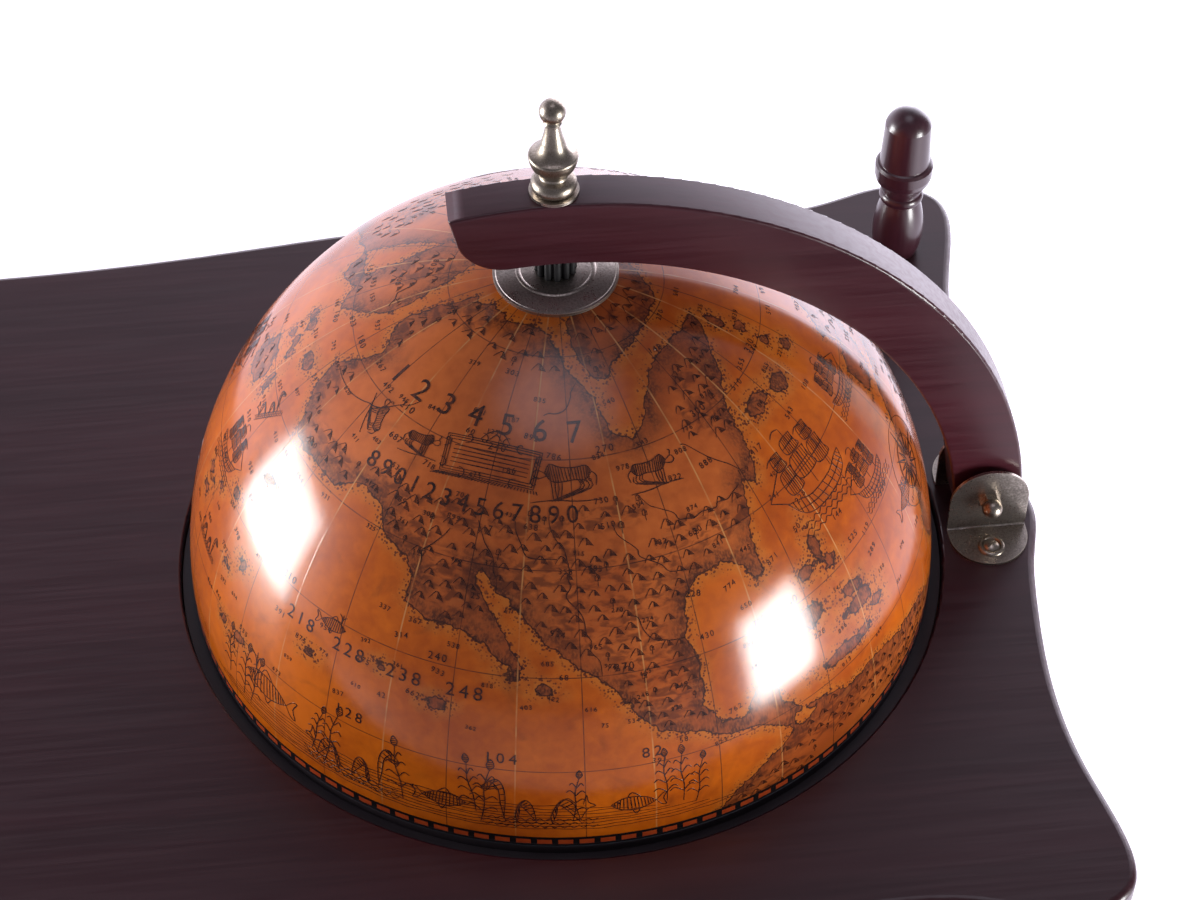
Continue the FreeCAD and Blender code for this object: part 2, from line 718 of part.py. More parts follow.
single_parts = {
    "table_top": table_top,
    "support_ring": support_ring,
    "rim_ring": rim_ring,
    "lower_bowl": lower_bowl,
    "rack_disc": rack_disc,
    "rack_cleats": rack_cleats,
    "bottle_floor": bottle_floor,
    "lid_shell": lid_shell,
    "lid_pole_block": lid_pole_block,
    "pole_disc": pole_disc,
    "pole_bush": pole_bush,
    "meridian_arm": meridian_arm,
    "arm_bush": arm_bush,
    "pole_rod": pole_rod,
    "thrust_washer": thrust_washer,
    "lock_nut": lock_nut,
    "finial_washer": finial_washer,
    "finial": finial,
    "pivot_pin": pivot_pin,
    "pin_cap_nuts": pin_cap_nuts,
    "foot_cup_washers": foot_cup_washers,
    "foot_screws": foot_screws,
    "lower_shelf": lower_shelf,
    "top_studs": top_studs,
    "shelf_studs": shelf_studs,
}
for name, make in single_parts.items():
    save(make(), name)

save(hinge_ear(-1), "hinge_ear_front")
save(hinge_ear(1), "hinge_ear_back")

for number, (x, y) in enumerate(leg_places, 1):
    save(moved(leg_upper(), x, y, 0), f"leg_{number}")
    save(moved(leg_foot(), x, y, 0), f"foot_{number}")
    save(moved(castor_stem(), x, y, 0), f"castor_stem_{number}")
    save(moved(castor_fork(), x, y, 0), f"castor_fork_{number}")
    save(moved(castor_axle(), x, y, 0), f"castor_axle_{number}")
    save(moved(castor_wheel(), x, y, 0), f"castor_wheel_{number}")

for number, (x, y) in enumerate(post_places, 1):
    save(moved(corner_post(), x, y, 0), f"corner_post_{number}")
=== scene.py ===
import bpy
import math
import random
import numpy as np
from mathutils import Matrix, Vector


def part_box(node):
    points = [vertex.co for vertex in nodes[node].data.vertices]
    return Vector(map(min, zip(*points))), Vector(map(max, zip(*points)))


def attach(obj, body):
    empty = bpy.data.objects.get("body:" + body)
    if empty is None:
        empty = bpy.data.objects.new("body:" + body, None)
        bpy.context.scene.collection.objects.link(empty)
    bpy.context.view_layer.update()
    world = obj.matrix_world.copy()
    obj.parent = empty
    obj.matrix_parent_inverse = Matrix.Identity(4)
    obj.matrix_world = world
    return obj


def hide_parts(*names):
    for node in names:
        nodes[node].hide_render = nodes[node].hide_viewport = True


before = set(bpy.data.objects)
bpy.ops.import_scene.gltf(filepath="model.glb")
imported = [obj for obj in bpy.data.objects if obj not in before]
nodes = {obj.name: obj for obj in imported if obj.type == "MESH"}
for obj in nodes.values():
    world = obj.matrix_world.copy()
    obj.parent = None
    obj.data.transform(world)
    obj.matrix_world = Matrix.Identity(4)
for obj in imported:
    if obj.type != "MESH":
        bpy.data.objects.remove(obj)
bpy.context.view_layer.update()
bpy.ops.object.select_all(action="DESELECT")

# ------------------------------------------------------------------ studio
# The globe bar stands on a pale seamless floor in front of a bright white sweep, lit by two soft boxes at
# about the height of the globe, one past its left end and one to the right of the viewer, who looks down.
lid_low, lid_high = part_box("lid_shell")
rim_drop = 0.003
globe = Vector(((lid_low.x + lid_high.x) / 2, 0, lid_low.z + rim_drop))

eye_from_globe = Vector((-0.0758, -0.9352, 1.0920))
look_turn = math.radians(-5.93)
look_down = math.radians(47.48)
look_roll = math.radians(-0.27)
camera_data = bpy.data.cameras.new("viewer")
camera_data.sensor_width = 36
camera_data.lens = 79.19
camera = bpy.data.objects.new("viewer", camera_data)
bpy.context.collection.objects.link(camera)
turn = Matrix.Rotation(look_turn, 4, "Z")
tilt = Matrix.Rotation(math.pi / 2 - look_down, 4, "X")
roll = Matrix.Rotation(look_roll, 4, "Z")
camera.matrix_world = Matrix.Translation(globe + eye_from_globe) @ turn @ tilt @ roll
bpy.context.scene.camera = camera
bpy.context.scene.view_settings.view_transform = "Standard"


def soft_box(name, direction, distance, size, power):
    """A soft box seen from the globe in a direction, so many metres off, facing the globe."""
    data = bpy.data.lights.new(name, "AREA")
    data.shape = "RECTANGLE"
    data.size, data.size_y = size
    data.energy = power
    data.spread = math.radians(80)
    lamp = bpy.data.objects.new(name, data)
    bpy.context.collection.objects.link(lamp)
    lamp.location = globe + Vector(direction).normalized() * distance
    lamp.rotation_euler = (globe - lamp.location).to_track_quat("-Z", "Y").to_euler()


soft_box("soft_box_left", (-0.985, 0.15, 0.03), 1.7, (0.80, 0.92), 8.2)
soft_box("soft_box_right", (0.800, -0.590, -0.07), 1.7, (0.58, 0.76), 6.2)


def calc(tree, kind, *values):
    """Adds a Math node fed by sockets or numbers and returns its result."""
    maths = tree.nodes.new("ShaderNodeMath")
    maths.operation = kind
    for place, value in enumerate(values):
        if isinstance(value, (int, float)):
            maths.inputs[place].default_value = value
        else:
            tree.links.new(value, maths.inputs[place])
    return maths.outputs[0]


def ramp(tree, value, low, high, start=0.0, end=1.0):
    """A smooth step of a value from low to high, giving start to end."""
    step = tree.nodes.new("ShaderNodeMapRange")
    step.interpolation_type = "SMOOTHSTEP"
    tree.links.new(value, step.inputs["Value"])
    for name, number in (("From Min", low), ("From Max", high), ("To Min", start), ("To Max", end)):
        step.inputs[name].default_value = number
    return step.outputs["Result"]


def mix(tree, amount, below, above):
    """Mixes two colours, each a socket or an RGB triple."""
    blend = tree.nodes.new("ShaderNodeMix")
    blend.data_type = "RGBA"
    if isinstance(amount, (int, float)):
        blend.inputs[0].default_value = amount
    else:
        tree.links.new(amount, blend.inputs[0])
    for place, colour in ((6, below), (7, above)):
        if isinstance(colour, tuple):
            blend.inputs[place].default_value = (*colour, 1)
        else:
            tree.links.new(colour, blend.inputs[place])
    return blend.outputs[2]


def noise(tree, vector, scale, detail=3.0, distortion=0.0):
    """A noise value at so many cells a metre, along the vector given."""
    grain = tree.nodes.new("ShaderNodeTexNoise")
    grain.inputs["Scale"].default_value = scale
    grain.inputs["Detail"].default_value = detail
    grain.inputs["Distortion"].default_value = distortion
    tree.links.new(vector, grain.inputs["Vector"])
    return grain.outputs["Fac"]


def new_material(name):
    """An empty Principled material: returns it, its node tree, shader and Object coordinates."""
    material = bpy.data.materials.new(name)
    material.use_nodes = True
    tree = material.node_tree
    shader = tree.nodes["Principled BSDF"]
    place = tree.nodes.new("ShaderNodeTexCoord").outputs["Object"]
    return material, tree, shader, place


def backdrop(tree, along):
    """How bright the white sweep and the ceiling are in a direction from the globe. The sweep is strong behind
    and to the right and dies away upwards, and a small patch of ceiling glows straight overhead."""
    axes = tree.nodes.new("ShaderNodeSeparateXYZ")
    tree.links.new(along, axes.inputs[0])
    side, deep, height = axes.outputs
    behind = ramp(tree, calc(tree, "MULTIPLY_ADD", side, -0.42, deep), 0.0, 0.38)
    right = ramp(tree, side, -0.20, 0.32, 0.42, 1.45)
    low = ramp(tree, height, 0.10, 0.58, 3.0, 0.85)
    floor_part = ramp(tree, height, -0.42, 0.0, 0.34, 1.0)
    high = ramp(tree, height, 0.60, 0.80, 1.0, 0.07)
    level = calc(tree, "MULTIPLY", calc(tree, "MULTIPLY", low, floor_part), high)
    sweep = calc(tree, "MULTIPLY", calc(tree, "MULTIPLY", behind, right), level)
    return calc(tree, "ADD", sweep, ramp(tree, height, 0.93, 1.0, 0.0, 1.1))


# A white sweep, brightly lit, runs up behind the object; the rest of the room is dim.
room_light = 0.13
sweep_tint = (0.96, 0.91, 1.07, 1)
world = bpy.data.worlds.new("white_sweep")
bpy.context.scene.world = world
world.use_nodes = True
tree = world.node_tree
sky_way = tree.nodes.new("ShaderNodeTexCoord").outputs["Generated"]
light = calc(tree, "ADD", backdrop(tree, sky_way), room_light)
tree.links.new(light, tree.nodes["Background"].inputs["Strength"])
tree.nodes["Background"].inputs["Color"].default_value = sweep_tint

floor_size = 16
bpy.ops.mesh.primitive_plane_add(size=floor_size, location=(0, 0, 0))
floor = bpy.context.object
floor.name = "studio_floor"
floor_paint_and_painted_glow, tree, shader, place = new_material("floor_paint_and_painted_glow")
floor_colour = mix(tree, noise(tree, place, 3), (0.70, 0.70, 0.70), (0.74, 0.74, 0.74))
tree.links.new(floor_colour, shader.inputs["Base Color"])
shader.inputs["Roughness"].default_value = 0.7
# Painted light: the floor glows in the sweep's tint, as bright as the sweep looks in each direction from the globe. A
# painted pool of light also lies round the globe. It is strongest within about a metre, fades out by four and a half
# metres, and is dimmed straight in front of the globe. Only the pale paint is the floor's own colour.
from_globe = tree.nodes.new("ShaderNodeVectorMath")
from_globe.operation = "SUBTRACT"
tree.links.new(place, from_globe.inputs[0])
from_globe.inputs[1].default_value = globe
outward = tree.nodes.new("ShaderNodeVectorMath")
outward.operation = "NORMALIZE"
tree.links.new(from_globe.outputs[0], outward.inputs[0])
far_off = tree.nodes.new("ShaderNodeVectorMath")
far_off.operation = "LENGTH"
tree.links.new(from_globe.outputs[0], far_off.inputs[0])
painted_light_pool = ramp(tree, far_off.outputs["Value"], 1.1, 4.5, 0.9, 0.12)
in_front = tree.nodes.new("ShaderNodeSeparateXYZ")
tree.links.new(outward.outputs[0], in_front.inputs[0])
painted_light_pool = calc(tree, "MULTIPLY", painted_light_pool, ramp(tree, in_front.outputs["Y"], -0.75, -0.42, 0.08, 1.0))
painted_floor_glow = calc(tree, "MAXIMUM", backdrop(tree, outward.outputs[0]), painted_light_pool)
tree.links.new(painted_floor_glow, shader.inputs["Emission Strength"])
shader.inputs["Emission Color"].default_value = sweep_tint
floor.data.materials.append(floor_paint_and_painted_glow)
bpy.ops.object.select_all(action="DESELECT")

# ------------------------------------------------------------------ table, shelf, legs and posts
# Boards and turnings of stained beech and fibreboard, sprayed a dark cherry brown under a satin lacquer. The
# stain hides most of the grain: long faint streaks and pores show only in the sheen.


def stretched(tree, vector, scale):
    """The vector scaled along each axis by a Mapping node."""
    mapping = tree.nodes.new("ShaderNodeMapping")
    mapping.vector_type = "POINT"
    mapping.inputs["Scale"].default_value = scale
    tree.links.new(vector, mapping.inputs["Vector"])
    return mapping.outputs[0]


def bump(tree, height, strength, distance):
    node = tree.nodes.new("ShaderNodeBump")
    node.inputs["Strength"].default_value = strength
    node.inputs["Distance"].default_value = distance
    tree.links.new(height, node.inputs["Height"])
    return node.outputs[0]


def stained_wood(name, dark, light, along, roughness, pores, lacquer=0.35):
    """Stained wood whose grain runs along one axis: 0, 1 or 2."""
    material, tree, shader, place = new_material(name)
    long_way = [26.0, 26.0, 26.0]
    long_way[along] = 2.2
    fine_way = [420.0, 420.0, 420.0]
    fine_way[along] = 14.0
    figure = noise(tree, stretched(tree, place, long_way), 1.0, 5, 0.8)
    streaks = noise(tree, stretched(tree, place, fine_way), 1.0, 3)
    cloud = noise(tree, place, 5.0, 2)
    tone = calc(tree, "ADD", calc(tree, "MULTIPLY", figure, 0.6), calc(tree, "MULTIPLY", streaks, 0.25))
    tone = calc(tree, "ADD", tone, calc(tree, "MULTIPLY", cloud, 0.3))
    colour = mix(tree, ramp(tree, tone, 0.35, 0.8), dark, light)
    tree.links.new(colour, shader.inputs["Base Color"])
    tree.links.new(ramp(tree, streaks, 0.3, 0.75, roughness - 0.05, roughness + 0.07), shader.inputs["Roughness"])
    tree.links.new(bump(tree, streaks, pores, 0.0003), shader.inputs["Normal"])
    shader.inputs["Coat Weight"].default_value = lacquer
    shader.inputs["Coat Roughness"].default_value = 0.22
    return material


table_wood = stained_wood("table_wood", (0.026, 0.0034, 0.0070), (0.046, 0.0070, 0.0125), 0, 0.35, 0.10, 0.42)
turned_wood = stained_wood("turned_wood", (0.026, 0.0052, 0.0100), (0.050, 0.0110, 0.0200), 2, 0.34, 0.08, 0.9)
rack_wood = stained_wood("rack_wood", (0.055, 0.014, 0.010), (0.12, 0.036, 0.020), 0, 0.40, 0.15)
plain_wood = stained_wood("hidden_wood", (0.20, 0.11, 0.055), (0.36, 0.22, 0.12), 0, 0.60, 0.30)


def finish(material, *names):
    """Gives CAD nodes a finished material in place of their packed one."""
    for name in names:
        for slot in nodes[name].material_slots:
            slot.material = material


corners = range(1, 5)
finish(table_wood, "table_top", "lower_shelf")
finish(turned_wood, *[f"leg_{i}" for i in corners], *[f"foot_{i}" for i in corners])
finish(turned_wood, "corner_post_1", "corner_post_2")
finish(rack_wood, "rack_disc", "bottle_floor")
finish(plain_wood, "support_ring", "rack_cleats", "lid_pole_block")

# The ring round the bowl is given a near-black colour that is painted shadow: it makes the gap between globe and table
# read as a dark shadow line.
painted_shadow_black, tree, shader, place = new_material("painted_shadow_black")
brushing = noise(tree, stretched(tree, place, (30, 30, 300)), 1.0, 4)
# Painted shadow: the ring's colour stays near-black, with only a faint brushed variation.
tree.links.new(mix(tree, brushing, (0.022, 0.016, 0.019), (0.042, 0.032, 0.038)), shader.inputs["Base Color"])
tree.links.new(ramp(tree, brushing, 0.2, 0.8, 0.38, 0.52), shader.inputs["Roughness"])
finish(painted_shadow_black, "rim_ring")

# ------------------------------------------------------------------ brass fittings
# Cast, turned and pressed brass, dipped to a dark olive antique finish and buffed, so that high spots and
# edges come up bright while the dark salts stay in a fine speckle all over.


def antique_brass(name, speck, dark, bright):
    material, tree, shader, place = new_material(name)
    patches = noise(tree, place, 90, 4, 0.4)
    specks = noise(tree, place, speck, 4)
    bevel = tree.nodes.new("ShaderNodeBevel")
    bevel.samples = 6
    bevel.inputs["Radius"].default_value = 0.0011
    geometry = tree.nodes.new("ShaderNodeNewGeometry")
    facing = tree.nodes.new("ShaderNodeVectorMath")
    facing.operation = "DOT_PRODUCT"
    tree.links.new(bevel.outputs[0], facing.inputs[0])
    tree.links.new(geometry.outputs["Normal"], facing.inputs[1])
    edge = ramp(tree, facing.outputs["Value"], 0.995, 0.90)
    tone = calc(tree, "ADD", calc(tree, "MULTIPLY", patches, 0.5), calc(tree, "MULTIPLY", specks, 0.6))
    colour = mix(tree, ramp(tree, tone, 0.36, 0.76), dark, bright)
    colour = mix(tree, calc(tree, "MULTIPLY", edge, 0.8), colour, (0.66, 0.60, 0.50))
    tree.links.new(colour, shader.inputs["Base Color"])
    tree.links.new(ramp(tree, tone, 0.35, 0.75, 0.42, 0.24), shader.inputs["Roughness"])
    tree.links.new(bump(tree, specks, 0.18, 0.0002), shader.inputs["Normal"])
    shader.inputs["Metallic"].default_value = 1.0
    return material


plate_brass = antique_brass("plate_brass", 900, (0.24, 0.21, 0.185), (0.56, 0.50, 0.44))
turned_brass = antique_brass("turned_brass", 1500, (0.22, 0.185, 0.145), (0.60, 0.53, 0.44))
finish(plate_brass, "pole_disc", "hinge_ear_front", "hinge_ear_back", "finial_washer")
finish(plate_brass, *[f"castor_fork_{i}" for i in corners])
finish(turned_brass, "finial", "pin_cap_nuts", "foot_cup_washers", "foot_screws", "arm_bush")

# ------------------------------------------------------------------ steel, black plastic and castor wheels
# Zinc-plated studs, rod, nut and axles, a moulded black bush at the pole, and black moulded castor wheels.
zinc, tree, shader, place = new_material("zinc_steel")
spangle = noise(tree, place, 400, 3)
tree.links.new(mix(tree, spangle, (0.34, 0.34, 0.35), (0.52, 0.52, 0.53)), shader.inputs["Base Color"])
tree.links.new(ramp(tree, spangle, 0.3, 0.7, 0.26, 0.42), shader.inputs["Roughness"])
shader.inputs["Metallic"].default_value = 1.0
finish(zinc, "pole_rod", "thrust_washer", "lock_nut", "pivot_pin", "top_studs", "shelf_studs")
finish(zinc, *[f"castor_stem_{i}" for i in corners], *[f"castor_axle_{i}" for i in corners])

moulded, tree, shader, place = new_material("moulded_black")
skin = noise(tree, place, 1400, 3)
tree.links.new(mix(tree, skin, (0.010, 0.010, 0.011), (0.024, 0.023, 0.024)), shader.inputs["Base Color"])
tree.links.new(ramp(tree, skin, 0.3, 0.7, 0.36, 0.50), shader.inputs["Roughness"])
tree.links.new(bump(tree, skin, 0.15, 0.0001), shader.inputs["Normal"])
finish(moulded, "pole_bush", *[f"castor_wheel_{i}" for i in corners])

# ------------------------------------------------------------------ meridian arm
# A flat arc sawn from solid hardwood, its edges just broken, stained a redder mahogany than the table. The
# grain follows the arc only roughly, as in a board cut to a curve.
arm_wood = stained_wood("arm_wood", (0.036, 0.0054, 0.0100), (0.070, 0.0120, 0.0200), 0, 0.34, 0.12)
wooden_arm = bpy.data.objects.new("wooden_arm", nodes["meridian_arm"].data.copy())
bpy.context.collection.objects.link(wooden_arm)
bpy.context.view_layer.objects.active = wooden_arm
wooden_arm.select_set(True)
bpy.ops.object.mode_set(mode="EDIT")
bpy.ops.mesh.select_all(action="SELECT")
bpy.ops.mesh.remove_doubles(threshold=0.000002)
bpy.ops.mesh.dissolve_limited(angle_limit=math.radians(0.5))
bpy.ops.object.mode_set(mode="OBJECT")
bpy.ops.object.shade_smooth_by_angle(angle=math.radians(50))
weighted = wooden_arm.modifiers.new("flat_faces", "WEIGHTED_NORMAL")
weighted.keep_sharp = True
weighted.weight = 80
bpy.ops.object.modifier_apply(modifier=weighted.name)
wooden_arm.data.materials.clear()
wooden_arm.data.materials.append(arm_wood)
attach(wooden_arm, "arm")
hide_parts("meridian_arm")

# ------------------------------------------------------------------ lid: the printed map
# The upper half of the globe: a pressed fibre shell covered with printed paper gores, sprayed with thick gloss
# varnish. The old-style map of the Earth has stained seas, shaded coasts and a red and black scale at the rim.
globe_r = 0.200
lid_wall = 0.004
mm_per_degree = 1000 * globe_r * math.pi / 180
columns, rings = 400, 180

# Coasts, in degrees east and north on the globe, counted from the hinge. They are drawn in the free manner of
# an old map: the new world faces the viewer and the old world is round the back.
coasts = {
    "north_america": [
        (-172, 68), (-170, 73), (-165, 78), (-150, 79.5), (-128, 79), (-108, 79.5), (-99, 78), (-94, 75),
        (-88, 71), (-84, 69.5), (-81, 66), (-79, 62.5), (-74, 61), (-69, 62.5), (-64, 66), (-58, 69),
        (-50, 70), (-40, 70.5), (-31, 70), (-22, 70.5), (-24, 68), (-32, 65.5), (-38, 62), (-43, 59.5),
        (-46, 56), (-47, 52), (-50, 48), (-53, 49.5), (-55, 46), (-57, 42), (-57.5, 37), (-59.5, 36),
        (-61, 39.5), (-65, 41), (-70, 40.5), (-73, 38), (-74.5, 33), (-73, 28), (-73.5, 22), (-71, 18),
        (-67, 17.5), (-65, 21), (-61, 21.5), (-61, 17), (-58, 14), (-55, 12), (-58, 10.5), (-62, 13),
        (-66, 15), (-71, 16), (-76, 18.5), (-80, 19.5), (-83, 22), (-86, 26), (-89, 29.5), (-94, 32),
        (-98, 35), (-102, 38.5), (-106, 41), (-110, 44.5), (-111, 43), (-108, 39), (-104, 35), (-101, 30.5),
        (-104, 31), (-108, 34), (-113, 35.5), (-118, 35.5), (-122.5, 37), (-122.5, 41), (-126, 43),
        (-131, 44.5), (-133.5, 47.5), (-140, 48.5), (-146, 46), (-155, 46), (-162, 45.5), (-165, 49),
        (-169, 52), (-171, 56), (-167, 59), (-163.5, 63), (-168, 65)],
    "south_america": [
        (-74, -2), (-70, 4), (-65, 7), (-60, 10), (-59, 13.5), (-53, 13), (-48, 11), (-41, 11.5), (-34, 9.5),
        (-27, 8.5), (-20, 5), (-12, 0), (-9, -8), (-18, -22), (-30, -31), (-40, -42), (-46, -56), (-54, -54),
        (-53, -36), (-56, -18), (-68, -12)],
    "arctic": [
        (-88, 80.5), (-86, 76), (-83, 72.5), (-79, 70.5), (-74, 70.5), (-69, 72.5), (-60, 73), (-48, 74.5),
        (-35, 75), (-20, 76), (-5, 78), (10, 79.5), (10, 83), (-60, 83)],
    "far_east": [
        (-215, 75), (-204, 79), (-192, 77), (-184, 74), (-178, 69.5), (-179, 65), (-184, 61), (-190, 57),
        (-196, 59), (-204, 55), (-212, 57)],
    "rich_isle": [(-194, 41), (-192, 44.5), (-187, 45), (-183.5, 43), (-184, 39.5), (-188, 38), (-192, 38.5)],
    "old_world": [
        (-9, 43), (-9, 37), (-1, 37.5), (4, 42), (9, 44), (15, 38), (18, 41), (13, 45.5), (22, 37), (27, 41),
        (36, 36.5), (34, 30), (43, 13), (52, 17), (59, 22), (55, 26), (49, 30), (57, 26), (67, 24.5),
        (73, 19), (77, 8), (80, 14), (88, 22), (94, 17), (99, 8), (104, 1.5), (100, 13), (107, 10),
        (108, 20), (118, 25), (122, 32), (118, 39), (127, 36), (130, 43), (140, 52), (150, 58), (160, 60),
        (157, 66), (145, 72), (112, 76), (80, 72), (60, 69), (40, 67), (25, 71), (12, 65), (6, 59), (12, 56),
        (4, 52), (-4, 48), (-1, 44)],
    "africa": [
        (-17, 15), (-13, 27), (-6, 35), (10, 37), (20, 31), (32, 31), (37, 20), (43, 11.5), (51, 11.5),
        (45, 2), (40, -8), (40, -16), (34, -25), (27, -33), (18, -34), (12, -18), (13, -6), (9, 4),
        (-8, 4.5), (-15, 10)],
    "southern_land": [(114, -22), (130, -12), (142, -11), (150, -24), (152, -34), (140, -38), (117, -35)],
}
islands = [  # east, north, half width, half height
    (-52, 26.5, 3.2, 1.5), (-49.5, 33, 2.0, 1.1), (-46, 35, 1.1, 2.4), (-44.5, 31.5, 1.8, 0.9),
    (-43, 25.5, 2.2, 1.0), (-42, 22.5, 3.4, 1.1), (-38.5, 20, 1.6, 0.8), (-47, 17.5, 5.2, 1.0),
    (-37, 55.5, 5.2, 1.2), (-27, 54.5, 3.6, 1.4), (-20, 66.5, 2.2, 1.3), (-17, 62.5, 1.8, 1.0),
    (-17, 58.5, 1.3, 0.8), (-14, 55, 1.6, 0.8), (-122, 71, 9.0, 1.0), (-108, 72.5, 8.0, 1.0),
    (-119, 68, 2.6, 0.9), (-85, 68, 3.4, 0.9), (-103, 29.5, 1.5, 0.7), (-98, 28, 1.4, 0.7),
    (-176, 23, 1.2, 0.8), (-174, 25.5, 1.0, 0.7), (-177.5, 26, 0.9, 0.7), (-177, 51.5, 2.6, 1.1),
    (-186, 49, 1.4, 0.9), (-183.5, 47.5, 1.1, 0.9), (-188, 52, 1.6, 1.0), (-157, 13.5, 1.0, 0.7),
    (-152, 14, 1.4, 0.8), (-154, 11.5, 0.8, 0.6), (-166, 31, 1.4, 0.7), (-171, 28, 0.8, 0.5),
    (-156, 25, 1.3, 0.8), (-160, 22, 0.9, 0.5), (-114.5, 23.5, 1.4, 0.8), (-137, 22.5, 1.1, 0.6),
    (-124, 26.5, 0.9, 0.5), (-190, 48, 1.3, 0.8), (-192, 52, 1.0, 0.8), (-180.5, 43, 1.0, 1.4),
]
ranges = [  # mountain country: east, north, half width, half height
    (-152, 48.5, 12, 2.2), (-136, 50, 10, 2.0), (-127, 46, 8, 2.6), (-114, 42, 9, 5.5), (-106, 42, 6, 5.5),
    (-118, 50.5, 16, 2.0), (-98, 50, 14, 2.2), (-84, 51.5, 10, 2.2), (-96, 44, 9, 5.0), (-92, 38, 7, 5.0),
    (-84, 36, 8, 6.0), (-80, 29, 7, 5.0), (-78, 23.5, 7, 4.0), (-85, 44, 9, 3.0), (-75, 42, 7, 5.0),
    (-68, 46, 8, 3.4), (-60, 46, 6, 3.0), (-51, 60, 9, 3.6), (-44, 65, 12, 3.0), (-30, 68, 8, 1.5),
    (-167, 54, 4, 7.0), (-166, 70, 6, 5.0), (-150, 76, 14, 3.0), (-118, 75.5, 14, 3.0), (-99, 74.5, 7, 3.0),
    (-198, 70, 10, 6.0), (-200, 58, 8, 4.0), (-189, 41.5, 5, 3.0), (-80, 76, 8, 5.0), (-40, 78, 30, 2.0),
    (-50, 8, 14, 3.5), (-33, 5, 12, 3.0), (-65, 3, 10, 3.0), (60, 45, 40, 8.0), (95, 35, 20, 5.0),
    (10, 47, 14, 3.0), (15, 25, 16, 6.0), (120, 58, 24, 6.0), (30, 3, 12, 8.0), (-36, -15, 16, 14.0),
    (28, -18, 10, 12.0), (132, -24, 14, 7.0), (-56, 38, 2, 4.0), (-73, 31, 3, 8.0),
]


def inland_degrees(east, north):
    """How far each place lies inland, in degrees; below zero at sea. Takes arrays of east and north."""
    narrow = np.maximum(np.cos(np.radians(north)), 0.02)
    nearest = np.full(len(east), 1e3)
    inside = np.zeros(len(east), bool)
    for outline in coasts.values():
        for start, end in zip(outline, outline[1:] + outline[:1]):
            ax = ((start[0] - east + 180) % 360 - 180) * narrow
            ay = start[1] - north
            bx = ax + (end[0] - start[0]) * narrow
            by = end[1] - north
            share = -(ax * (bx - ax) + ay * (by - ay)) / ((bx - ax) ** 2 + (by - ay) ** 2 + 1e-9)
            along = np.clip(share, 0, 1)
            nearest = np.minimum(nearest, np.hypot(ax + along * (bx - ax), ay + along * (by - ay)))
            rise = end[1] - start[1] if end[1] != start[1] else 1e-9
            reach = start[0] + (north - start[1]) * (end[0] - start[0]) / rise
            crosses = (start[1] > north) != (end[1] > north)
            for lap in (-360, 0, 360):
                inside ^= crosses & (east + lap < reach)
    coast = np.where(inside, nearest, -nearest)
    for x, y, wide, high in islands:
        across = ((east - x + 180) % 360 - 180) * narrow
        wide *= math.cos(math.radians(y))
        coast = np.maximum(coast, (1 - np.hypot(across / wide, (north - y) / high)) * min(wide, high))
    return coast


def coast_and_relief(piece):
    """Writes two attributes on a globe mesh: coast, the distance inland in mm, and relief, 0 to 1."""
    mesh = piece.data
    points = np.zeros(len(mesh.vertices) * 3)
    mesh.vertices.foreach_get("co", points)
    points = points.reshape(-1, 3) - np.array(globe)
    east = np.degrees(np.arctan2(points[:, 1], points[:, 0]))
    north = np.degrees(np.arcsin(points[:, 2] / np.linalg.norm(points, axis=1)))
    coast = inland_degrees(east, north)
    relief = np.zeros(len(points))
    for x, y, wide, high in ranges:
        across = (east - x + 180) % 360 - 180
        relief = np.maximum(relief, 1 - np.hypot(across / wide, (north - y) / high) ** 2)
    for name, values in (("coast", coast * mm_per_degree), ("relief", relief)):
        attribute = mesh.attributes.new(name, "FLOAT", "POINT")
        attribute.data.foreach_set("value", values.astype(np.float32))


def half_globe(name, radius, wall, keep_above, level, outside, inside):
    """A hollow part of a sphere above or below a level, with its rim, closed and facing outwards."""
    bpy.ops.object.select_all(action="DESELECT")
    bpy.ops.mesh.primitive_uv_sphere_add(segments=columns, ring_count=rings, radius=radius, location=globe)
    piece = bpy.context.object
    piece.name = name
    bpy.ops.object.transform_apply(location=True, rotation=True, scale=True)
    bpy.ops.object.mode_set(mode="EDIT")
    bpy.ops.mesh.select_all(action="SELECT")
    cut_at = globe + Vector((0, 0, level))
    bpy.ops.mesh.bisect(plane_co=cut_at, plane_no=(0, 0, 1), clear_inner=keep_above, clear_outer=not keep_above)
    bpy.ops.object.mode_set(mode="OBJECT")
    piece.data.materials.append(outside)
    piece.data.materials.append(inside)
    thick = piece.modifiers.new("wall", "SOLIDIFY")
    thick.thickness = wall
    thick.offset = -1
    thick.material_offset = 1
    thick.material_offset_rim = 1
    bpy.ops.object.modifier_apply(modifier=thick.name)
    bpy.ops.object.shade_smooth()
    return piece


def mask_line(tree, value, period, shift, mm, half_width, soft):
    """1 on lines at every period of a value in degrees; mm is how many millimetres one degree makes."""
    turns = calc(tree, "FRACT", calc(tree, "MULTIPLY_ADD", value, 1 / period, 0.5 + shift / period))
    away = calc(tree, "MULTIPLY", calc(tree, "ABSOLUTE", calc(tree, "SUBTRACT", turns, 0.5)), period)
    return ramp(tree, calc(tree, "MULTIPLY", away, mm), half_width, half_width + soft, 1, 0)


def both(tree, *masks):
    product = masks[0]
    for mask in masks[1:]:
        product = calc(tree, "MULTIPLY", product, mask)
    return product


def inverse(tree, mask):
    return calc(tree, "SUBTRACT", 1.0, mask)


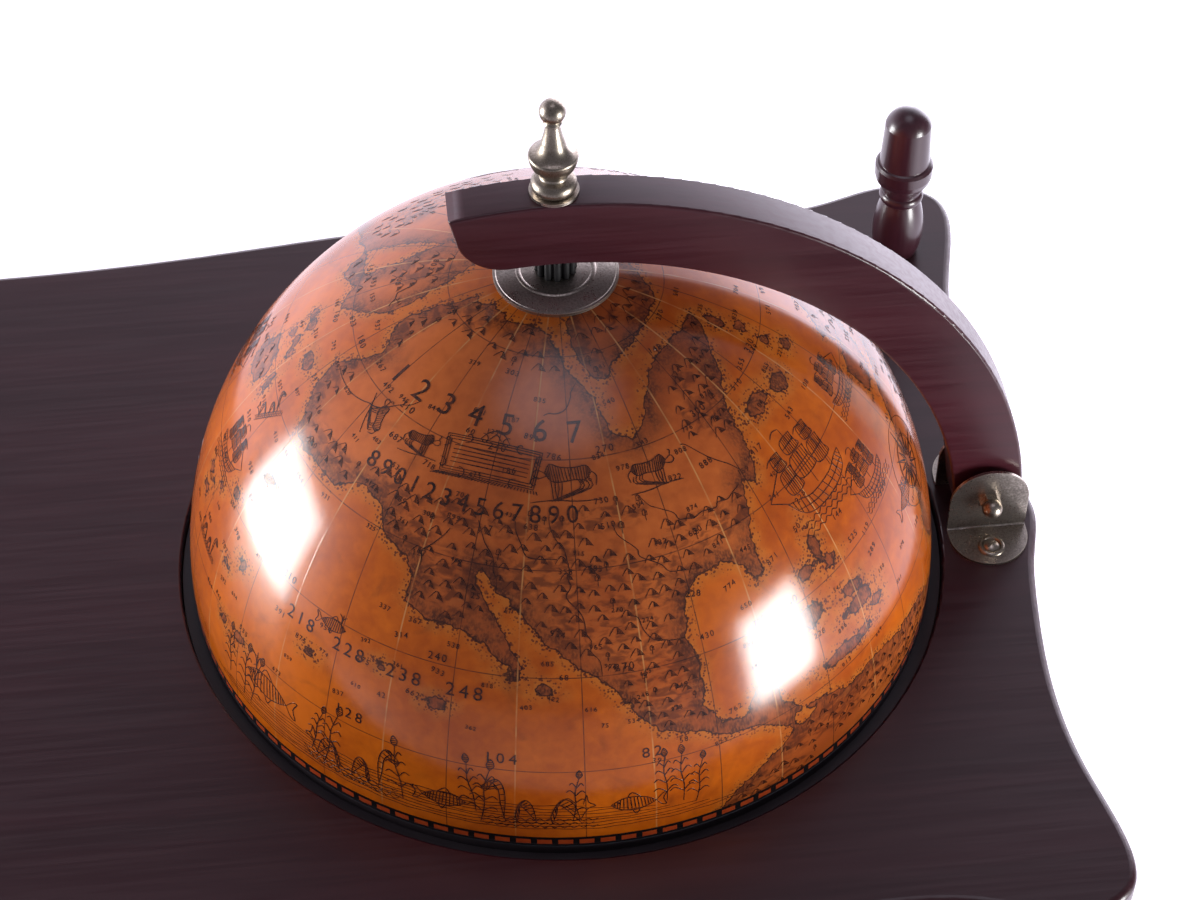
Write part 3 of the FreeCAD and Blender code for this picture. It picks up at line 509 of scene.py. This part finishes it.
def printed_map(name, rim_scale):
    """Varnished paper gores: seas, land, stippled coasts, mountain country, net and seams, and on the lid the
    scale round its rim."""
    material, tree, shader, place = new_material(name)
    centred = tree.nodes.new("ShaderNodeVectorMath")
    centred.operation = "SUBTRACT"
    tree.links.new(place, centred.inputs[0])
    centred.inputs[1].default_value = globe
    axes = tree.nodes.new("ShaderNodeSeparateXYZ")
    tree.links.new(centred.outputs[0], axes.inputs[0])
    x, y, z = axes.outputs
    waver = calc(tree, "MULTIPLY_ADD", noise(tree, place, 22, 2), 0.9, -0.45)
    east = calc(tree, "DEGREES", calc(tree, "ARCTAN2", y, x))
    across = calc(tree, "SQRT", calc(tree, "ADD", calc(tree, "MULTIPLY", x, x), calc(tree, "MULTIPLY", y, y)))
    north = calc(tree, "DEGREES", calc(tree, "ARCTAN2", z, across))
    level = calc(tree, "MULTIPLY", z, 1000.0)
    mm_east = calc(tree, "MULTIPLY", across, 1000 * math.pi / 180)

    def carried(name):
        attribute = tree.nodes.new("ShaderNodeAttribute")
        attribute.attribute_name = name
        return attribute.outputs["Fac"]

    bays = calc(tree, "MULTIPLY_ADD", noise(tree, place, 130, 4, 0.4), 6.5, -3.25)
    inlets = calc(tree, "MULTIPLY_ADD", noise(tree, place, 520, 3), 1.8, -0.9)
    inland = calc(tree, "ADD", carried("coast"), calc(tree, "ADD", bays, inlets))
    relief = ramp(tree, calc(tree, "ADD", carried("relief"), calc(tree, "MULTIPLY_ADD", bays, 0.06, 0.0)), 0.0, 0.5)
    land = ramp(tree, inland, -0.2, 0.2)
    sea = inverse(tree, land)

    # Stain: the whole print is tea-coloured, darker in clouds, and each gore took the stain a little differently.
    gore = calc(tree, "FLOOR", calc(tree, "MULTIPLY_ADD", east, 1 / 20, 0.1))
    own_tone = tree.nodes.new("ShaderNodeTexWhiteNoise")
    own_tone.noise_dimensions = "1D"
    tree.links.new(gore, own_tone.inputs["W"])
    clouds = noise(tree, place, 14, 4, 0.5)
    mottle = noise(tree, place, 160, 5, 0.3)
    tone = calc(tree, "MULTIPLY_ADD", clouds, 0.9, calc(tree, "MULTIPLY_ADD", mottle, 0.5, -0.35))
    tone = calc(tree, "MULTIPLY_ADD", own_tone.outputs["Value"], 0.22, tone)
    sea_colour = mix(tree, ramp(tree, tone, 0.1, 0.75), (0.37, 0.061, 0.002), (0.63, 0.136, 0.003))
    land_colour = mix(tree, ramp(tree, tone, 0.1, 0.75), (0.38, 0.073, 0.011), (0.60, 0.145, 0.024))
    colour = mix(tree, land, sea_colour, land_colour)

    # Coast halo: a paler yellow strip of sea, stippled with ink dots that thin out from the shore.
    offshore = calc(tree, "MULTIPLY", inland, -1.0)
    halo = both(tree, sea, ramp(tree, offshore, 1.0, 8.5, 1, 0))
    colour = mix(tree, both(tree, halo, ramp(tree, mottle, 0.3, 0.7, 0.25, 0.70)), colour, (0.50, 0.155, 0.020))
    dots = tree.nodes.new("ShaderNodeTexVoronoi")
    dots.inputs["Scale"].default_value = 620
    tree.links.new(place, dots.inputs["Vector"])
    dot_size = ramp(tree, offshore, 0.0, 9.0, 0.46, 0.10)
    dot = calc(tree, "LESS_THAN", dots.outputs["Distance"], dot_size)
    colour = mix(tree, both(tree, halo, dot, ramp(tree, noise(tree, place, 260, 2), 0.36, 0.52)), colour,
                 (0.13, 0.026, 0.007))

    # Land shading: hachures packed along the shore and rows of small shaded hills in mountain country.
    hatch_lines = noise(tree, stretched(tree, place, (900, 900, 200)), 1.0, 2)
    shore = both(tree, land, ramp(tree, inland, 0.5, 15.0, 1, 0), ramp(tree, mottle, 0.28, 0.62, 0.35, 1.0))
    colour = mix(tree, both(tree, shore, ramp(tree, hatch_lines, 0.35, 0.6, 0.55, 0.92)), colour, (0.050, 0.014, 0.008))
    hills = noise(tree, stretched(tree, place, (150, 150, 330)), 1.0, 5, 0.6)
    slopes = both(tree, land, relief, ramp(tree, hills, 0.36, 0.60, 1, 0))
    colour = mix(tree, calc(tree, "MULTIPLY", slopes, 0.66), colour, (0.070, 0.016, 0.007))
    ridge = both(tree, land, relief, ramp(tree, hills, 0.55, 0.66))
    colour = mix(tree, calc(tree, "MULTIPLY", ridge, 0.35), colour, (0.36, 0.105, 0.024))
    outline_ink = ramp(tree, calc(tree, "ABSOLUTE", inland), 0.22, 0.6, 1, 0)
    colour = mix(tree, calc(tree, "MULTIPLY", outline_ink, 0.85), colour, (0.022, 0.007, 0.005))

    # The net: meridians every ten degrees and parallels every fifteen; a gore seam hides every second meridian.
    net = calc(tree, "MAXIMUM", mask_line(tree, east, 20, 12, mm_east, 0.16, 0.22),
               mask_line(tree, north, 15, 0.4, mm_per_degree, 0.16, 0.22))
    net = calc(tree, "MULTIPLY", net, ramp(tree, mottle, 0.3, 0.6, 0.45, 0.8))
    colour = mix(tree, net, colour, (0.03, 0.009, 0.006))
    wavy_east = calc(tree, "ADD", east, calc(tree, "MULTIPLY", waver, 0.5))
    seam = mask_line(tree, wavy_east, 20, 2, mm_east, 0.22, 0.30)
    seam = calc(tree, "MULTIPLY", seam, ramp(tree, noise(tree, place, 60, 3), 0.34, 0.62, 0.15, 0.9))
    colour = mix(tree, seam, colour, (0.58, 0.25, 0.075))
    soot = ramp(tree, noise(tree, place, 45, 6, 0.8), 0.54, 0.80, 0.0, 0.38)
    colour = mix(tree, soot, colour, (0.075, 0.018, 0.006))

    # The rim's scale: a black strip with red dashes, three degrees to a dash. Along the lid's lower edge runs a thin
    # bluish-grey band, a painted highlight.
    if rim_scale:
        strip = ramp(tree, level, 4.6, 5.0, 1, 0)
        colour = mix(tree, strip, colour, (0.010, 0.007, 0.007))
        dash = calc(tree, "LESS_THAN", calc(tree, "FRACT", calc(tree, "MULTIPLY", east, 1 / 3)), 0.70)
        dash = both(tree, dash, ramp(tree, level, -0.9, -0.6), ramp(tree, level, 2.6, 2.9, 1, 0))
        colour = mix(tree, dash, colour, mix(tree, mottle, (0.33, 0.035, 0.008), (0.52, 0.080, 0.016)))
        # Painted highlight: the lowest half millimetre of the lid turns bluish grey, as if light were caught on the
        # rim's edge.
        colour = mix(tree, ramp(tree, level, -2.5, -2.3, 0.8, 0), colour, (0.10, 0.11, 0.14))

    tree.links.new(colour, shader.inputs["Base Color"])
    paper = calc(tree, "ADD", noise(tree, place, 1500, 3), calc(tree, "MULTIPLY", seam, 1.5))
    tree.links.new(bump(tree, calc(tree, "ADD", paper, calc(tree, "MULTIPLY", mottle, 1.2)), 0.14, 0.00015),
                   shader.inputs["Coat Normal"])
    tree.links.new(ramp(tree, mottle, 0.3, 0.7, 0.48, 0.60), shader.inputs["Roughness"])
    shader.inputs["Specular IOR Level"].default_value = 0.04
    shader.inputs["Coat Weight"].default_value = 1.0
    shader.inputs["Coat Roughness"].default_value = 0.155
    shader.inputs["Coat IOR"].default_value = 1.62
    return material


def lining():
    """The shells' inside: brown flock sprayed over the fibre."""
    material, tree, shader, place = new_material("flock_lining")
    flock = noise(tree, place, 900, 4)
    tree.links.new(mix(tree, flock, (0.035, 0.010, 0.008), (0.085, 0.026, 0.020)), shader.inputs["Base Color"])
    tree.links.new(bump(tree, flock, 0.4, 0.0004), shader.inputs["Normal"])
    tree.links.new(ramp(tree, flock, 0.3, 0.7, 0.75, 0.95), shader.inputs["Roughness"])
    shader.inputs["Sheen Weight"].default_value = 0.4
    return material


map_print = printed_map("varnished_map", True)
flock_lining = lining()
map_lid = half_globe("map_lid", globe_r, lid_wall, True, -rim_drop, map_print, flock_lining)
coast_and_relief(map_lid)
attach(map_lid, "lid")
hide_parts("lid_shell")

# The lower half of the globe is a shell of the same make with the same print, a little smaller, glued under
# the table's ring. Its flocked inside holds the bottles.
bowl_low, bowl_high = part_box("lower_bowl")
bowl_r = globe.z - bowl_low.z
map_below = printed_map("varnished_map_below", False)
map_bowl = half_globe("map_bowl", bowl_r, lid_wall, False, bowl_high.z - globe.z, map_below, flock_lining)
coast_and_relief(map_bowl)
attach(map_bowl, "table")
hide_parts("lower_bowl")

# ------------------------------------------------------------------ lid: the engraved figures
# Printed with the map from the same plate: ships, sea beasts, land beasts, hills, rivers, a compass rose and an
# empty title frame. Each engraved line is a thin strip of ink lying on the paper.
ink_thick, ink_high = 0.00010, 0.00014
longest_step = 1.3          # degrees, so that a stroke follows the round of the globe
strokes = []
dice = random.Random(7)


def frame_at(east, north, turn=0.0):
    """Outward, eastward and northward unit vectors at a place on the globe, the last two turned."""
    e, n, t = math.radians(east), math.radians(north), math.radians(turn)
    out = Vector((math.cos(n) * math.cos(e), math.cos(n) * math.sin(e), math.sin(n)))
    eastward = Vector((-math.sin(e), math.cos(e), 0))
    northward = out.cross(eastward)
    across = eastward * math.cos(t) + northward * math.sin(t)
    up = northward * math.cos(t) - eastward * math.sin(t)
    return out, across, up


def on_globe(at, x, y):
    """The unit vector to a point x and y degrees from a frame's middle, across and up the drawing."""
    out, across, up = at
    return (out + across * math.tan(math.radians(x)) + up * math.tan(math.radians(y))).normalized()


def softened(line, steps):
    """A Catmull-Rom curve through the points of a line."""
    ends = [line[0]] + list(line) + [line[-1]]
    soft = []
    for p, q, r, w in zip(ends, ends[1:], ends[2:], ends[3:]):
        for i in range(steps):
            t = i / steps
            soft.append(tuple(0.5 * (2 * b + (c - a) * t + (2 * a - 5 * b + 4 * c - d) * t * t
                                     + (3 * b - a - 3 * c + d) * t ** 3) for a, b, c, d in zip(p, q, r, w)))
    return soft + [line[-1]]


def engrave(lines, east, north, size, width=0.42, turn=0.0, flip=1, steps=3):
    """Engraves a drawing, whose box runs from -1 to 1, at a place: size is half its height in degrees."""
    at = frame_at(east, north, turn)
    for line in lines:
        points = softened(line, steps) if steps > 1 and len(line) > 2 else line
        fine = [points[0]]
        for (ax, ay), (bx, by) in zip(points, points[1:]):
            cuts = max(1, math.ceil(math.hypot(bx - ax, by - ay) * size / longest_step))
            fine += [(ax + (bx - ax) * i / cuts, ay + (by - ay) * i / cuts) for i in range(1, cuts + 1)]
        strokes.append(([on_globe(at, flip * x * size, y * size) for x, y in fine], width))


def hatching(outline_low, outline_high, count):
    """Slanting lines between two lines of a drawing that run the same way."""
    lines = []
    for i in range(count):
        t = (i + 0.5) / count
        ends = []
        for line, lean in ((outline_low, -0.02), (outline_high, 0.02)):
            place = min(max(t + lean, 0), 0.999) * (len(line) - 1)
            a, b = line[int(place)], line[int(place) + 1]
            ends.append(tuple(p + (q - p) * (place % 1) for p, q in zip(a, b)))
        lines.append(ends)
    return lines


def sail(x, y, wide, high):
    """A bellied sail with its shading, its middle at a place in the drawing."""
    left = [(x - wide, y + high), (x - wide * 0.78, y), (x - wide * 1.1, y - high)]
    right = [(x + wide * 0.9, y + high), (x + wide * 1.35, y), (x + wide, y - high)]
    edge = left + right[::-1] + left[:1]
    return [edge] + hatching(left, right, 1) + hatching([left[0], right[0]], [left[2], right[2]], 7)


def waves(x, y, wide, rows):
    """Rows of small waves, each a zigzag that is softened when it is engraved."""
    lines = []
    for row in range(rows):
        shift = 0.09 * (row % 2)
        lines.append([(x - wide + shift + i * 0.11, y - row * 0.12 + 0.035 * (-1) ** i)
                      for i in range(int(wide / 0.055))])
    return lines


keel = [(-0.92, -0.20), (-0.80, -0.52), (-0.35, -0.68), (0.30, -0.68), (0.72, -0.52), (0.95, -0.12)]
deck = [(-0.92, -0.20), (-0.72, -0.24), (-0.35, -0.36), (0.30, -0.36), (0.62, -0.24), (0.95, -0.12)]
ship = [keel, deck, [(-0.84, -0.38), (-0.30, -0.52), (0.30, -0.52), (0.84, -0.36)]]
ship += hatching(keel, deck, 16)
for mast, top, wide in ((-0.50, 0.62, 0.19), (0.02, 0.92, 0.25), (0.52, 0.60, 0.18)):
    head = top + 0.12
    ship += [[(mast, -0.3), (mast, head)], [(mast, head), (mast + 0.16, top + 0.17), (mast + 0.30, top + 0.10)]]
    ship += sail(mast, top * 0.25, wide, 0.24) + sail(mast, top * 0.25 + 0.46, wide * 0.72, 0.16)
ship += [[(0.9, -0.14), (1.25, 0.16)], [(0.52, 0.6), (1.25, 0.16)]] + waves(0, -0.72, 1.2, 3)

coil = [(-1.0, -0.45), (-0.86, 0.05), (-0.62, 0.22), (-0.42, -0.05), (-0.30, -0.45)]
second = [(0.0, -0.45), (0.10, 0.02), (0.26, 0.16), (0.42, -0.04), (0.50, -0.45)]
neck = [(0.74, -0.45), (0.70, 0.10), (0.74, 0.52), (0.88, 0.74), (1.06, 0.66), (1.24, 0.50)]
serpent = [coil, second, neck]
for body, thick in ((coil, 0.16), (second, 0.15), (neck, 0.11)):
    inner = []
    for i, (x, y) in enumerate(body):
        inner.append((x + (thick if y > -0.4 and i < len(body) - 2 else -thick * 0.3), y - thick))
    serpent += [inner] + hatching(body, inner, 11)
serpent += [[(1.24, 0.50), (1.04, 0.50), (0.90, 0.56)], [(1.24, 0.50), (1.10, 0.42), (0.94, 0.46)],
            [(-1.0, -0.45), (-1.16, -0.1), (-1.34, 0.0), (-1.18, 0.12), (-1.14, 0.34), (-1.06, 0.05)]]
serpent += waves(0, -0.46, 1.4, 3)

back = [(-0.95, 0.10), (-0.50, 0.38), (0.0, 0.42), (0.5, 0.28), (0.86, 0.02)]
belly = [(-0.95, 0.10), (-0.62, -0.18), (0.0, -0.32), (0.5, -0.18), (0.86, 0.02)]
tail_fin = [(0.86, 0.02), (1.1, 0.32), (1.28, 0.36), (1.14, 0.05), (1.26, -0.30), (1.06, -0.26), (0.86, 0.02)]
fish = [back, belly, tail_fin,
        [(-0.3, 0.40), (-0.1, 0.66), (0.25, 0.36)], [(-0.1, -0.3), (0.05, -0.55), (0.22, -0.27)],
        [(-0.95, 0.10), (-0.75, 0.06)], [(-0.72, 0.20), (-0.66, 0.24), (-0.62, 0.18), (-0.68, 0.15), (-0.72, 0.20)]]
fish += hatching(back, belly, 15)
spouting = fish + [[(-0.55, 0.36), (-0.62, 0.75), (-0.85, 0.92)], [(-0.55, 0.36), (-0.48, 0.78), (-0.28, 0.95)],
                   [(-0.55, 0.36), (-0.56, 0.98)]]

spine = [(-0.72, 0.10), (-0.55, 0.38), (-0.20, 0.26), (0.25, 0.24), (0.62, 0.30), (0.80, 0.10)]
under = [(-0.72, 0.10), (-0.50, -0.18), (-0.18, -0.22), (0.25, -0.16), (0.60, -0.16), (0.80, 0.10)]
beast = [spine, under, [(-0.72, 0.10), (-0.98, 0.22), (-1.08, 0.04), (-0.92, -0.08), (-0.66, 0.0)],
         [(-0.94, 0.20), (-1.02, 0.42), (-0.92, 0.46)], [(0.80, 0.10), (0.96, -0.05), (0.94, -0.35)]]
for foot, knee in ((-0.52, -0.44), (-0.30, -0.34), (0.36, -0.48), (0.62, -0.38)):
    beast += [[(foot, -0.16), (foot + 0.04, -0.45), (knee, -0.80), (knee + 0.12, -0.80)],
              [(foot + 0.14, -0.18), (foot + 0.14, -0.45), (knee + 0.12, -0.80)]]
beast += hatching(spine, under, 20) + [[(-1.2, -0.84), (-0.4, -0.80), (0.3, -0.86), (1.1, -0.82)]]

reed = [[(0.0, -1.0), (0.05, -0.3), (-0.02, 0.35), (0.06, 0.95)]]
for side in (-1, 1):
    for low, long in ((-0.55, 0.42), (-0.15, 0.38), (0.22, 0.32), (0.55, 0.24)):
        reed.append([(0.02, low), (side * long * 0.6, low + 0.22), (side * long, low + 0.12)])
tuft = [(0.06, 0.95), (-0.04, 1.12), (0.06, 1.32), (0.17, 1.12), (0.06, 0.95)]
reed += [tuft] + hatching(tuft[:3], [tuft[4], tuft[3], tuft[2]], 6)

rose = []
for i in range(16):
    turn = math.radians(i * 22.5)
    long = (1.0, 0.55, 0.75, 0.55)[i % 4]
    tip = (long * math.sin(turn), long * math.cos(turn))
    for side in (-1, 1):
        root_turn = turn + side * math.radians(11.25)
        rose.append([tip, (0.24 * math.sin(root_turn), 0.24 * math.cos(root_turn))])
        if side > 0:
            rose += [[(tip[0] * k, tip[1] * k), (0.24 * math.sin(root_turn) * k + tip[0] * 0.1 * (1 - k),
                      0.24 * math.cos(root_turn) * k + tip[1] * 0.1 * (1 - k))] for k in (0.4, 0.55, 0.7, 0.85)]
for ring in (0.26, 0.60, 0.64, 1.06):
    rose.append([(ring * math.sin(math.radians(a)), ring * math.cos(math.radians(a))) for a in range(0, 361, 15)])

frame_box = []
for inset in (0.0, 0.07, 0.16):
    x, y = 1.6 - inset, 0.62 - inset
    frame_box.append([(-x, -y), (x, -y), (x, y), (-x, y), (-x, -y)])
scrolls = []
for side in (-1, 1):
    for x, y, turn in ((1.60, 0.40, 1), (1.60, -0.40, -1), (0.9, 0.62, 1), (0.4, 0.62, -1), (0.9, -0.62, -1)):
        scrolls.append([(side * (x + 0.22 * k * math.cos(k * 5)), y + turn * 0.22 * k * math.sin(k * 5))
                        for k in [j / 12 for j in range(13)]])
scrolls += [[(-0.5, 0.62), (-0.3, 0.86), (0.0, 0.98), (0.3, 0.86), (0.5, 0.62)],
            [(-0.2, 0.66), (0.0, 0.86), (0.2, 0.66)]]
scrolls += hatching([(-1.9, -0.76), (1.9, -0.76)], [(-1.7, -0.66), (1.7, -0.66)], 34)
ruled = [[(-1.3, y), (1.3, y)] for y in (-0.28, -0.14, 0.0, 0.14, 0.28)]

engrave(ship, -175, 33, 4.6)
engrave(ship, -37.5, 43.5, 7.2, width=0.5, flip=-1)
engrave(ship, -26, 35, 4.6, flip=-1)
engrave(ship, -15, 46, 4.2)
engrave(ship, 62, 12, 5, flip=-1)
engrave(ship, 160, 34, 5)
engrave(serpent, -127, 8.6, 6.2, width=0.6)
engrave(serpent, -99, 8.2, 6.2, width=0.6, flip=-1)
engrave(serpent, -168, 20, 3.0)
engrave(serpent, -174, 43, 2.6, turn=55)
engrave(serpent, 130, 14, 5)
engrave(spouting, -144, 10.5, 5.0, width=0.6)
engrave(fish, -112.5, 7.0, 3.6, width=0.6, flip=-1)
engrave(fish, -85, 7.4, 3.6, width=0.6)
engrave(spouting, -134, 28.5, 2.4, flip=-1)
engrave(fish, -20, 24, 3.4, flip=-1)
engrave(fish, -160, 38, 2.0, turn=20)
engrave(spouting, 90, 8, 4)
engrave(beast, -93, 57.5, 4.2, width=0.5)
engrave(beast, -72, 56.5, 3.4, width=0.5, flip=-1)
engrave(beast, -147, 57, 2.6, turn=-70)
engrave(beast, -133, 58, 2.7, flip=-1, turn=10)
engrave(beast, 100, 50, 3.6)
engrave(beast, 20, 12, 3.6)
engrave(rose, -13, 25, 6.5, steps=1)
engrave(rose, 172, 11, 6.5, steps=1)
engrave(frame_box + ruled, -113, 58.6, 4.2, width=0.55, steps=1)
engrave(scrolls, -113, 58.6, 4.2, width=0.55)
for east in (-154, -149.5, -147, -133.5, -131, -119.5, -108.5, -106.5, -93.5, -80.5, -78.0, -75.5):
    engrave(reed, east, dice.uniform(9.0, 11.5), dice.uniform(4.0, 5.6), width=0.6, turn=dice.uniform(-12, 12))
for row in range(9):
    lengths = range(-158 + row * 2, -66 - row * 3, 2)
    swell = [(east, 3.3 + row * 0.62 + dice.uniform(-0.16, 0.16)) for east in lengths]
    strokes.append(([on_globe(frame_at(*spot), 0, 0) for spot in softened(swell, 2)], 0.4))

rivers = [
    [(-97, 53), (-95.5, 49), (-93, 45), (-93.5, 41), (-91, 37), (-90, 33), (-88, 30)],
    [(-76, 53), (-71, 49.5), (-66, 48), (-60, 48), (-54, 49)], [(-104, 51), (-101, 47), (-96, 46)],
    [(-84, 50), (-80, 46), (-76, 43), (-70, 41)], [(-118, 48), (-121, 45), (-122, 42)],
    [(-83, 38), (-80, 34), (-75, 33)], [(-140, 62), (-147, 59), (-155, 57), (-168, 56)],
    [(-100, 66), (-93, 67), (-88, 70)], [(-62, 58), (-56, 54), (-52, 50)], [(-112, 50), (-108, 46), (-106, 41)],
    [(-190, 70), (-186, 67), (-181, 66)], [(80, 60), (86, 66), (88, 72)], [(105, 30), (112, 32), (121, 31)],
    [(32, 5), (31, 14), (33, 22), (31, 31)], [(48, 60), (46, 54), (48, 47)],
]
for river in rivers:
    crooked = [(x + dice.uniform(-0.8, 0.8), y + dice.uniform(-0.5, 0.5)) for x, y in softened(river, 3)]
    strokes.append(([on_globe(frame_at(*spot), 0, 0) for spot in softened(crooked, 3)], 0.5))

# Molehill mountains, each a round back with shading down its east side, stand in the mountain country; little
# trees fill some of the gaps.
hill = [[(-1.0, -0.55), (-0.62, 0.05), (-0.2, 0.55), (0.15, 0.5), (0.6, 0.0), (1.0, -0.6)]]
for k in range(5):
    hill.append([(0.10 + k * 0.2, 0.45 - k * 0.22), (0.16 + k * 0.17, -0.05 - k * 0.1), (0.05 + k * 0.14, -0.45)])
tree_mark = [[(0, -0.8), (0, 0.1)], [(-0.35, 0.0), (-0.3, 0.6), (0.0, 0.85), (0.3, 0.6), (0.35, 0.0), (-0.35, 0.0)],
             [(0.05, 0.1), (0.25, 0.55)], [(0.0, 0.3), (0.1, 0.75)]]
tried = []
for x, y, wide, high in ranges:
    for _ in range(int(3.2 * wide * high * math.cos(math.radians(y)))):
        away, turn = math.sqrt(dice.random()), dice.uniform(0, 2 * math.pi)
        tried.append((x + wide * away * math.cos(turn), y + high * away * math.sin(turn)))
tried = [spot for spot in tried if 1.0 < spot[1] < 80]
shore_at = inland_degrees(*np.array(tried).T)
taken = []
for spot, inside in zip(tried, shore_at):
    here = on_globe(frame_at(*spot), 0, 0)
    if inside > 0.9 and all((here - other).length > 0.029 for other in taken):
        taken.append(here)
        engrave(tree_mark if dice.random() < 0.12 else hill, *spot, dice.uniform(0.70, 1.05), width=0.36, steps=1)


def ink():
    """Brown-black printing ink under varnish, thin in places."""
    material, tree, shader, place = new_material("plate_ink")
    worn = noise(tree, place, 420, 4)
    tree.links.new(mix(tree, ramp(tree, worn, 0.32, 0.70), (0.022, 0.007, 0.005), (0.105, 0.026, 0.010)),
                   shader.inputs["Base Color"])
    tree.links.new(ramp(tree, worn, 0.3, 0.7, 0.5, 0.6), shader.inputs["Roughness"])
    shader.inputs["Specular IOR Level"].default_value = 0.04
    shader.inputs["Coat Weight"].default_value = 1.0
    shader.inputs["Coat Roughness"].default_value = 0.155
    shader.inputs["Coat IOR"].default_value = 1.62
    return material


plate_ink = ink()


def printed(name, points, faces):
    """A flat shape lying on the paper becomes a closed film of ink that rides with the lid."""
    mesh = bpy.data.meshes.new(name)
    mesh.from_pydata(points, [], faces)
    piece = bpy.data.objects.new(name, mesh)
    bpy.context.collection.objects.link(piece)
    bpy.ops.object.select_all(action="DESELECT")
    bpy.context.view_layer.objects.active = piece
    piece.select_set(True)
    bpy.ops.object.mode_set(mode="EDIT")
    bpy.ops.mesh.select_all(action="SELECT")
    bpy.ops.mesh.remove_doubles(threshold=0.000001)
    bpy.ops.object.mode_set(mode="OBJECT")
    film = piece.modifiers.new("film", "SOLIDIFY")
    film.thickness = ink_thick
    film.offset = -1
    bpy.ops.object.modifier_apply(modifier=film.name)
    bpy.ops.object.shade_smooth_by_angle(angle=math.radians(40))
    piece.data.materials.append(plate_ink)
    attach(piece, "lid")


def inked(name, lines):
    """One piece from many engraved lines. Each is a strip, so many mm wide, that thins towards its ends."""
    points, faces = [], []
    for line, width in lines:
        first = len(points)
        last = len(line) - 1
        for i, here in enumerate(line):
            ahead = line[min(i + 1, last)] - line[max(i - 1, 0)]
            side = here.cross(ahead).normalized()
            swell = 0.45 + 0.55 * math.sin(math.pi * (i + 0.5) / (last + 1)) if last > 1 else 0.8
            for way in (-1, 1):
                half = 0.001 * width * swell / 2
                points.append(globe + here * (globe_r + ink_high) + side * (way * half))
        for i in range(last):
            a = first + 2 * i
            faces.append((a, a + 2, a + 3, a + 1))
    printed(name, points, faces)


share = len(strokes) // 3 + 1
for plate, first in enumerate(range(0, len(strokes), share), 1):
    inked(f"engraved_figures_{plate}", strokes[first:first + share])

# ------------------------------------------------------------------ lid: the numerals
# Degree numbers are printed large across the continent and along the parallels, and small soundings and
# heights are scattered on the seas and the land. The same ten figures are set again and again.
digits = []
for figure in "0123456789":
    bpy.ops.object.select_all(action="DESELECT")
    bpy.ops.object.text_add(location=(0, 0, 0))
    letter = bpy.context.object
    letter.data.body = figure
    letter.data.size = 1.0
    letter.data.resolution_u = 3
    bpy.ops.object.convert(target="MESH")
    shape = bpy.context.object
    corners_of = [tuple(v.co) for v in shape.data.vertices]
    digits.append((corners_of, [tuple(p.vertices) for p in shape.data.polygons]))
    bpy.data.objects.remove(shape)
digit_high = max(y for x, y, z in digits[0][0])
figure_points, figure_faces = [], []


def number(value, east, north, high, turn=0.0, spread=1.0):
    """Sets a number, high in degrees, with its middle at a place on the globe."""
    at = frame_at(east, north, turn)
    text = str(value)
    size = high / digit_high
    step = 0.62 * size * spread
    for i, figure in enumerate(text):
        points, faces = digits[int(figure)]
        base = len(figure_points)
        shift = (i - (len(text) - 1) / 2) * step
        for x, y, z in points:
            spot = on_globe(at, (x - 0.3) * size + shift, (y - digit_high / 2) * size)
            figure_points.append(globe + spot * (globe_r + ink_high))
        figure_faces.extend(tuple(base + v for v in face) for face in faces)


for i in range(7):
    number(i + 1, -152 + i * 10.4, 64.2 - 0.25 * abs(i - 3), 3.1)
for i in range(13):
    number((i + 8) % 10, -141 + i * 4.1, 52.2, 2.4)
for east in range(-142, -110, 10):
    number(east % 360, east + 2, 26.4, 2.0, spread=1.1)
for east in (-128, -104, -82, 20, 60, 100, 140):
    number(abs(east), east, 16.6, 1.7, spread=1.15)
for east in range(-180, 180, 30):
    number(east % 360, east + 5, 30.6, 1.1)
    number(east % 360, east + 8, 60.6, 1.0)
tried = [(dice.uniform(-200, 60), dice.uniform(14, 74)) for _ in range(900)]
shore_at = inland_degrees(*np.array(tried).T)
placed = []
for spot, inside in zip(tried, shore_at):
    here = on_globe(frame_at(*spot), 0, 0)
    crowded = dice.random() > math.cos(math.radians(spot[1]))
    near_land = inside > -5 and abs(inside) > 0.7
    if not crowded and near_land and all((here - other).length > 0.052 for other in placed):
        placed.append(here)
        number(dice.randint(11, 979), *spot, dice.uniform(0.6, 0.9), turn=dice.uniform(-14, 14))
printed("map_numerals", figure_points, figure_faces)
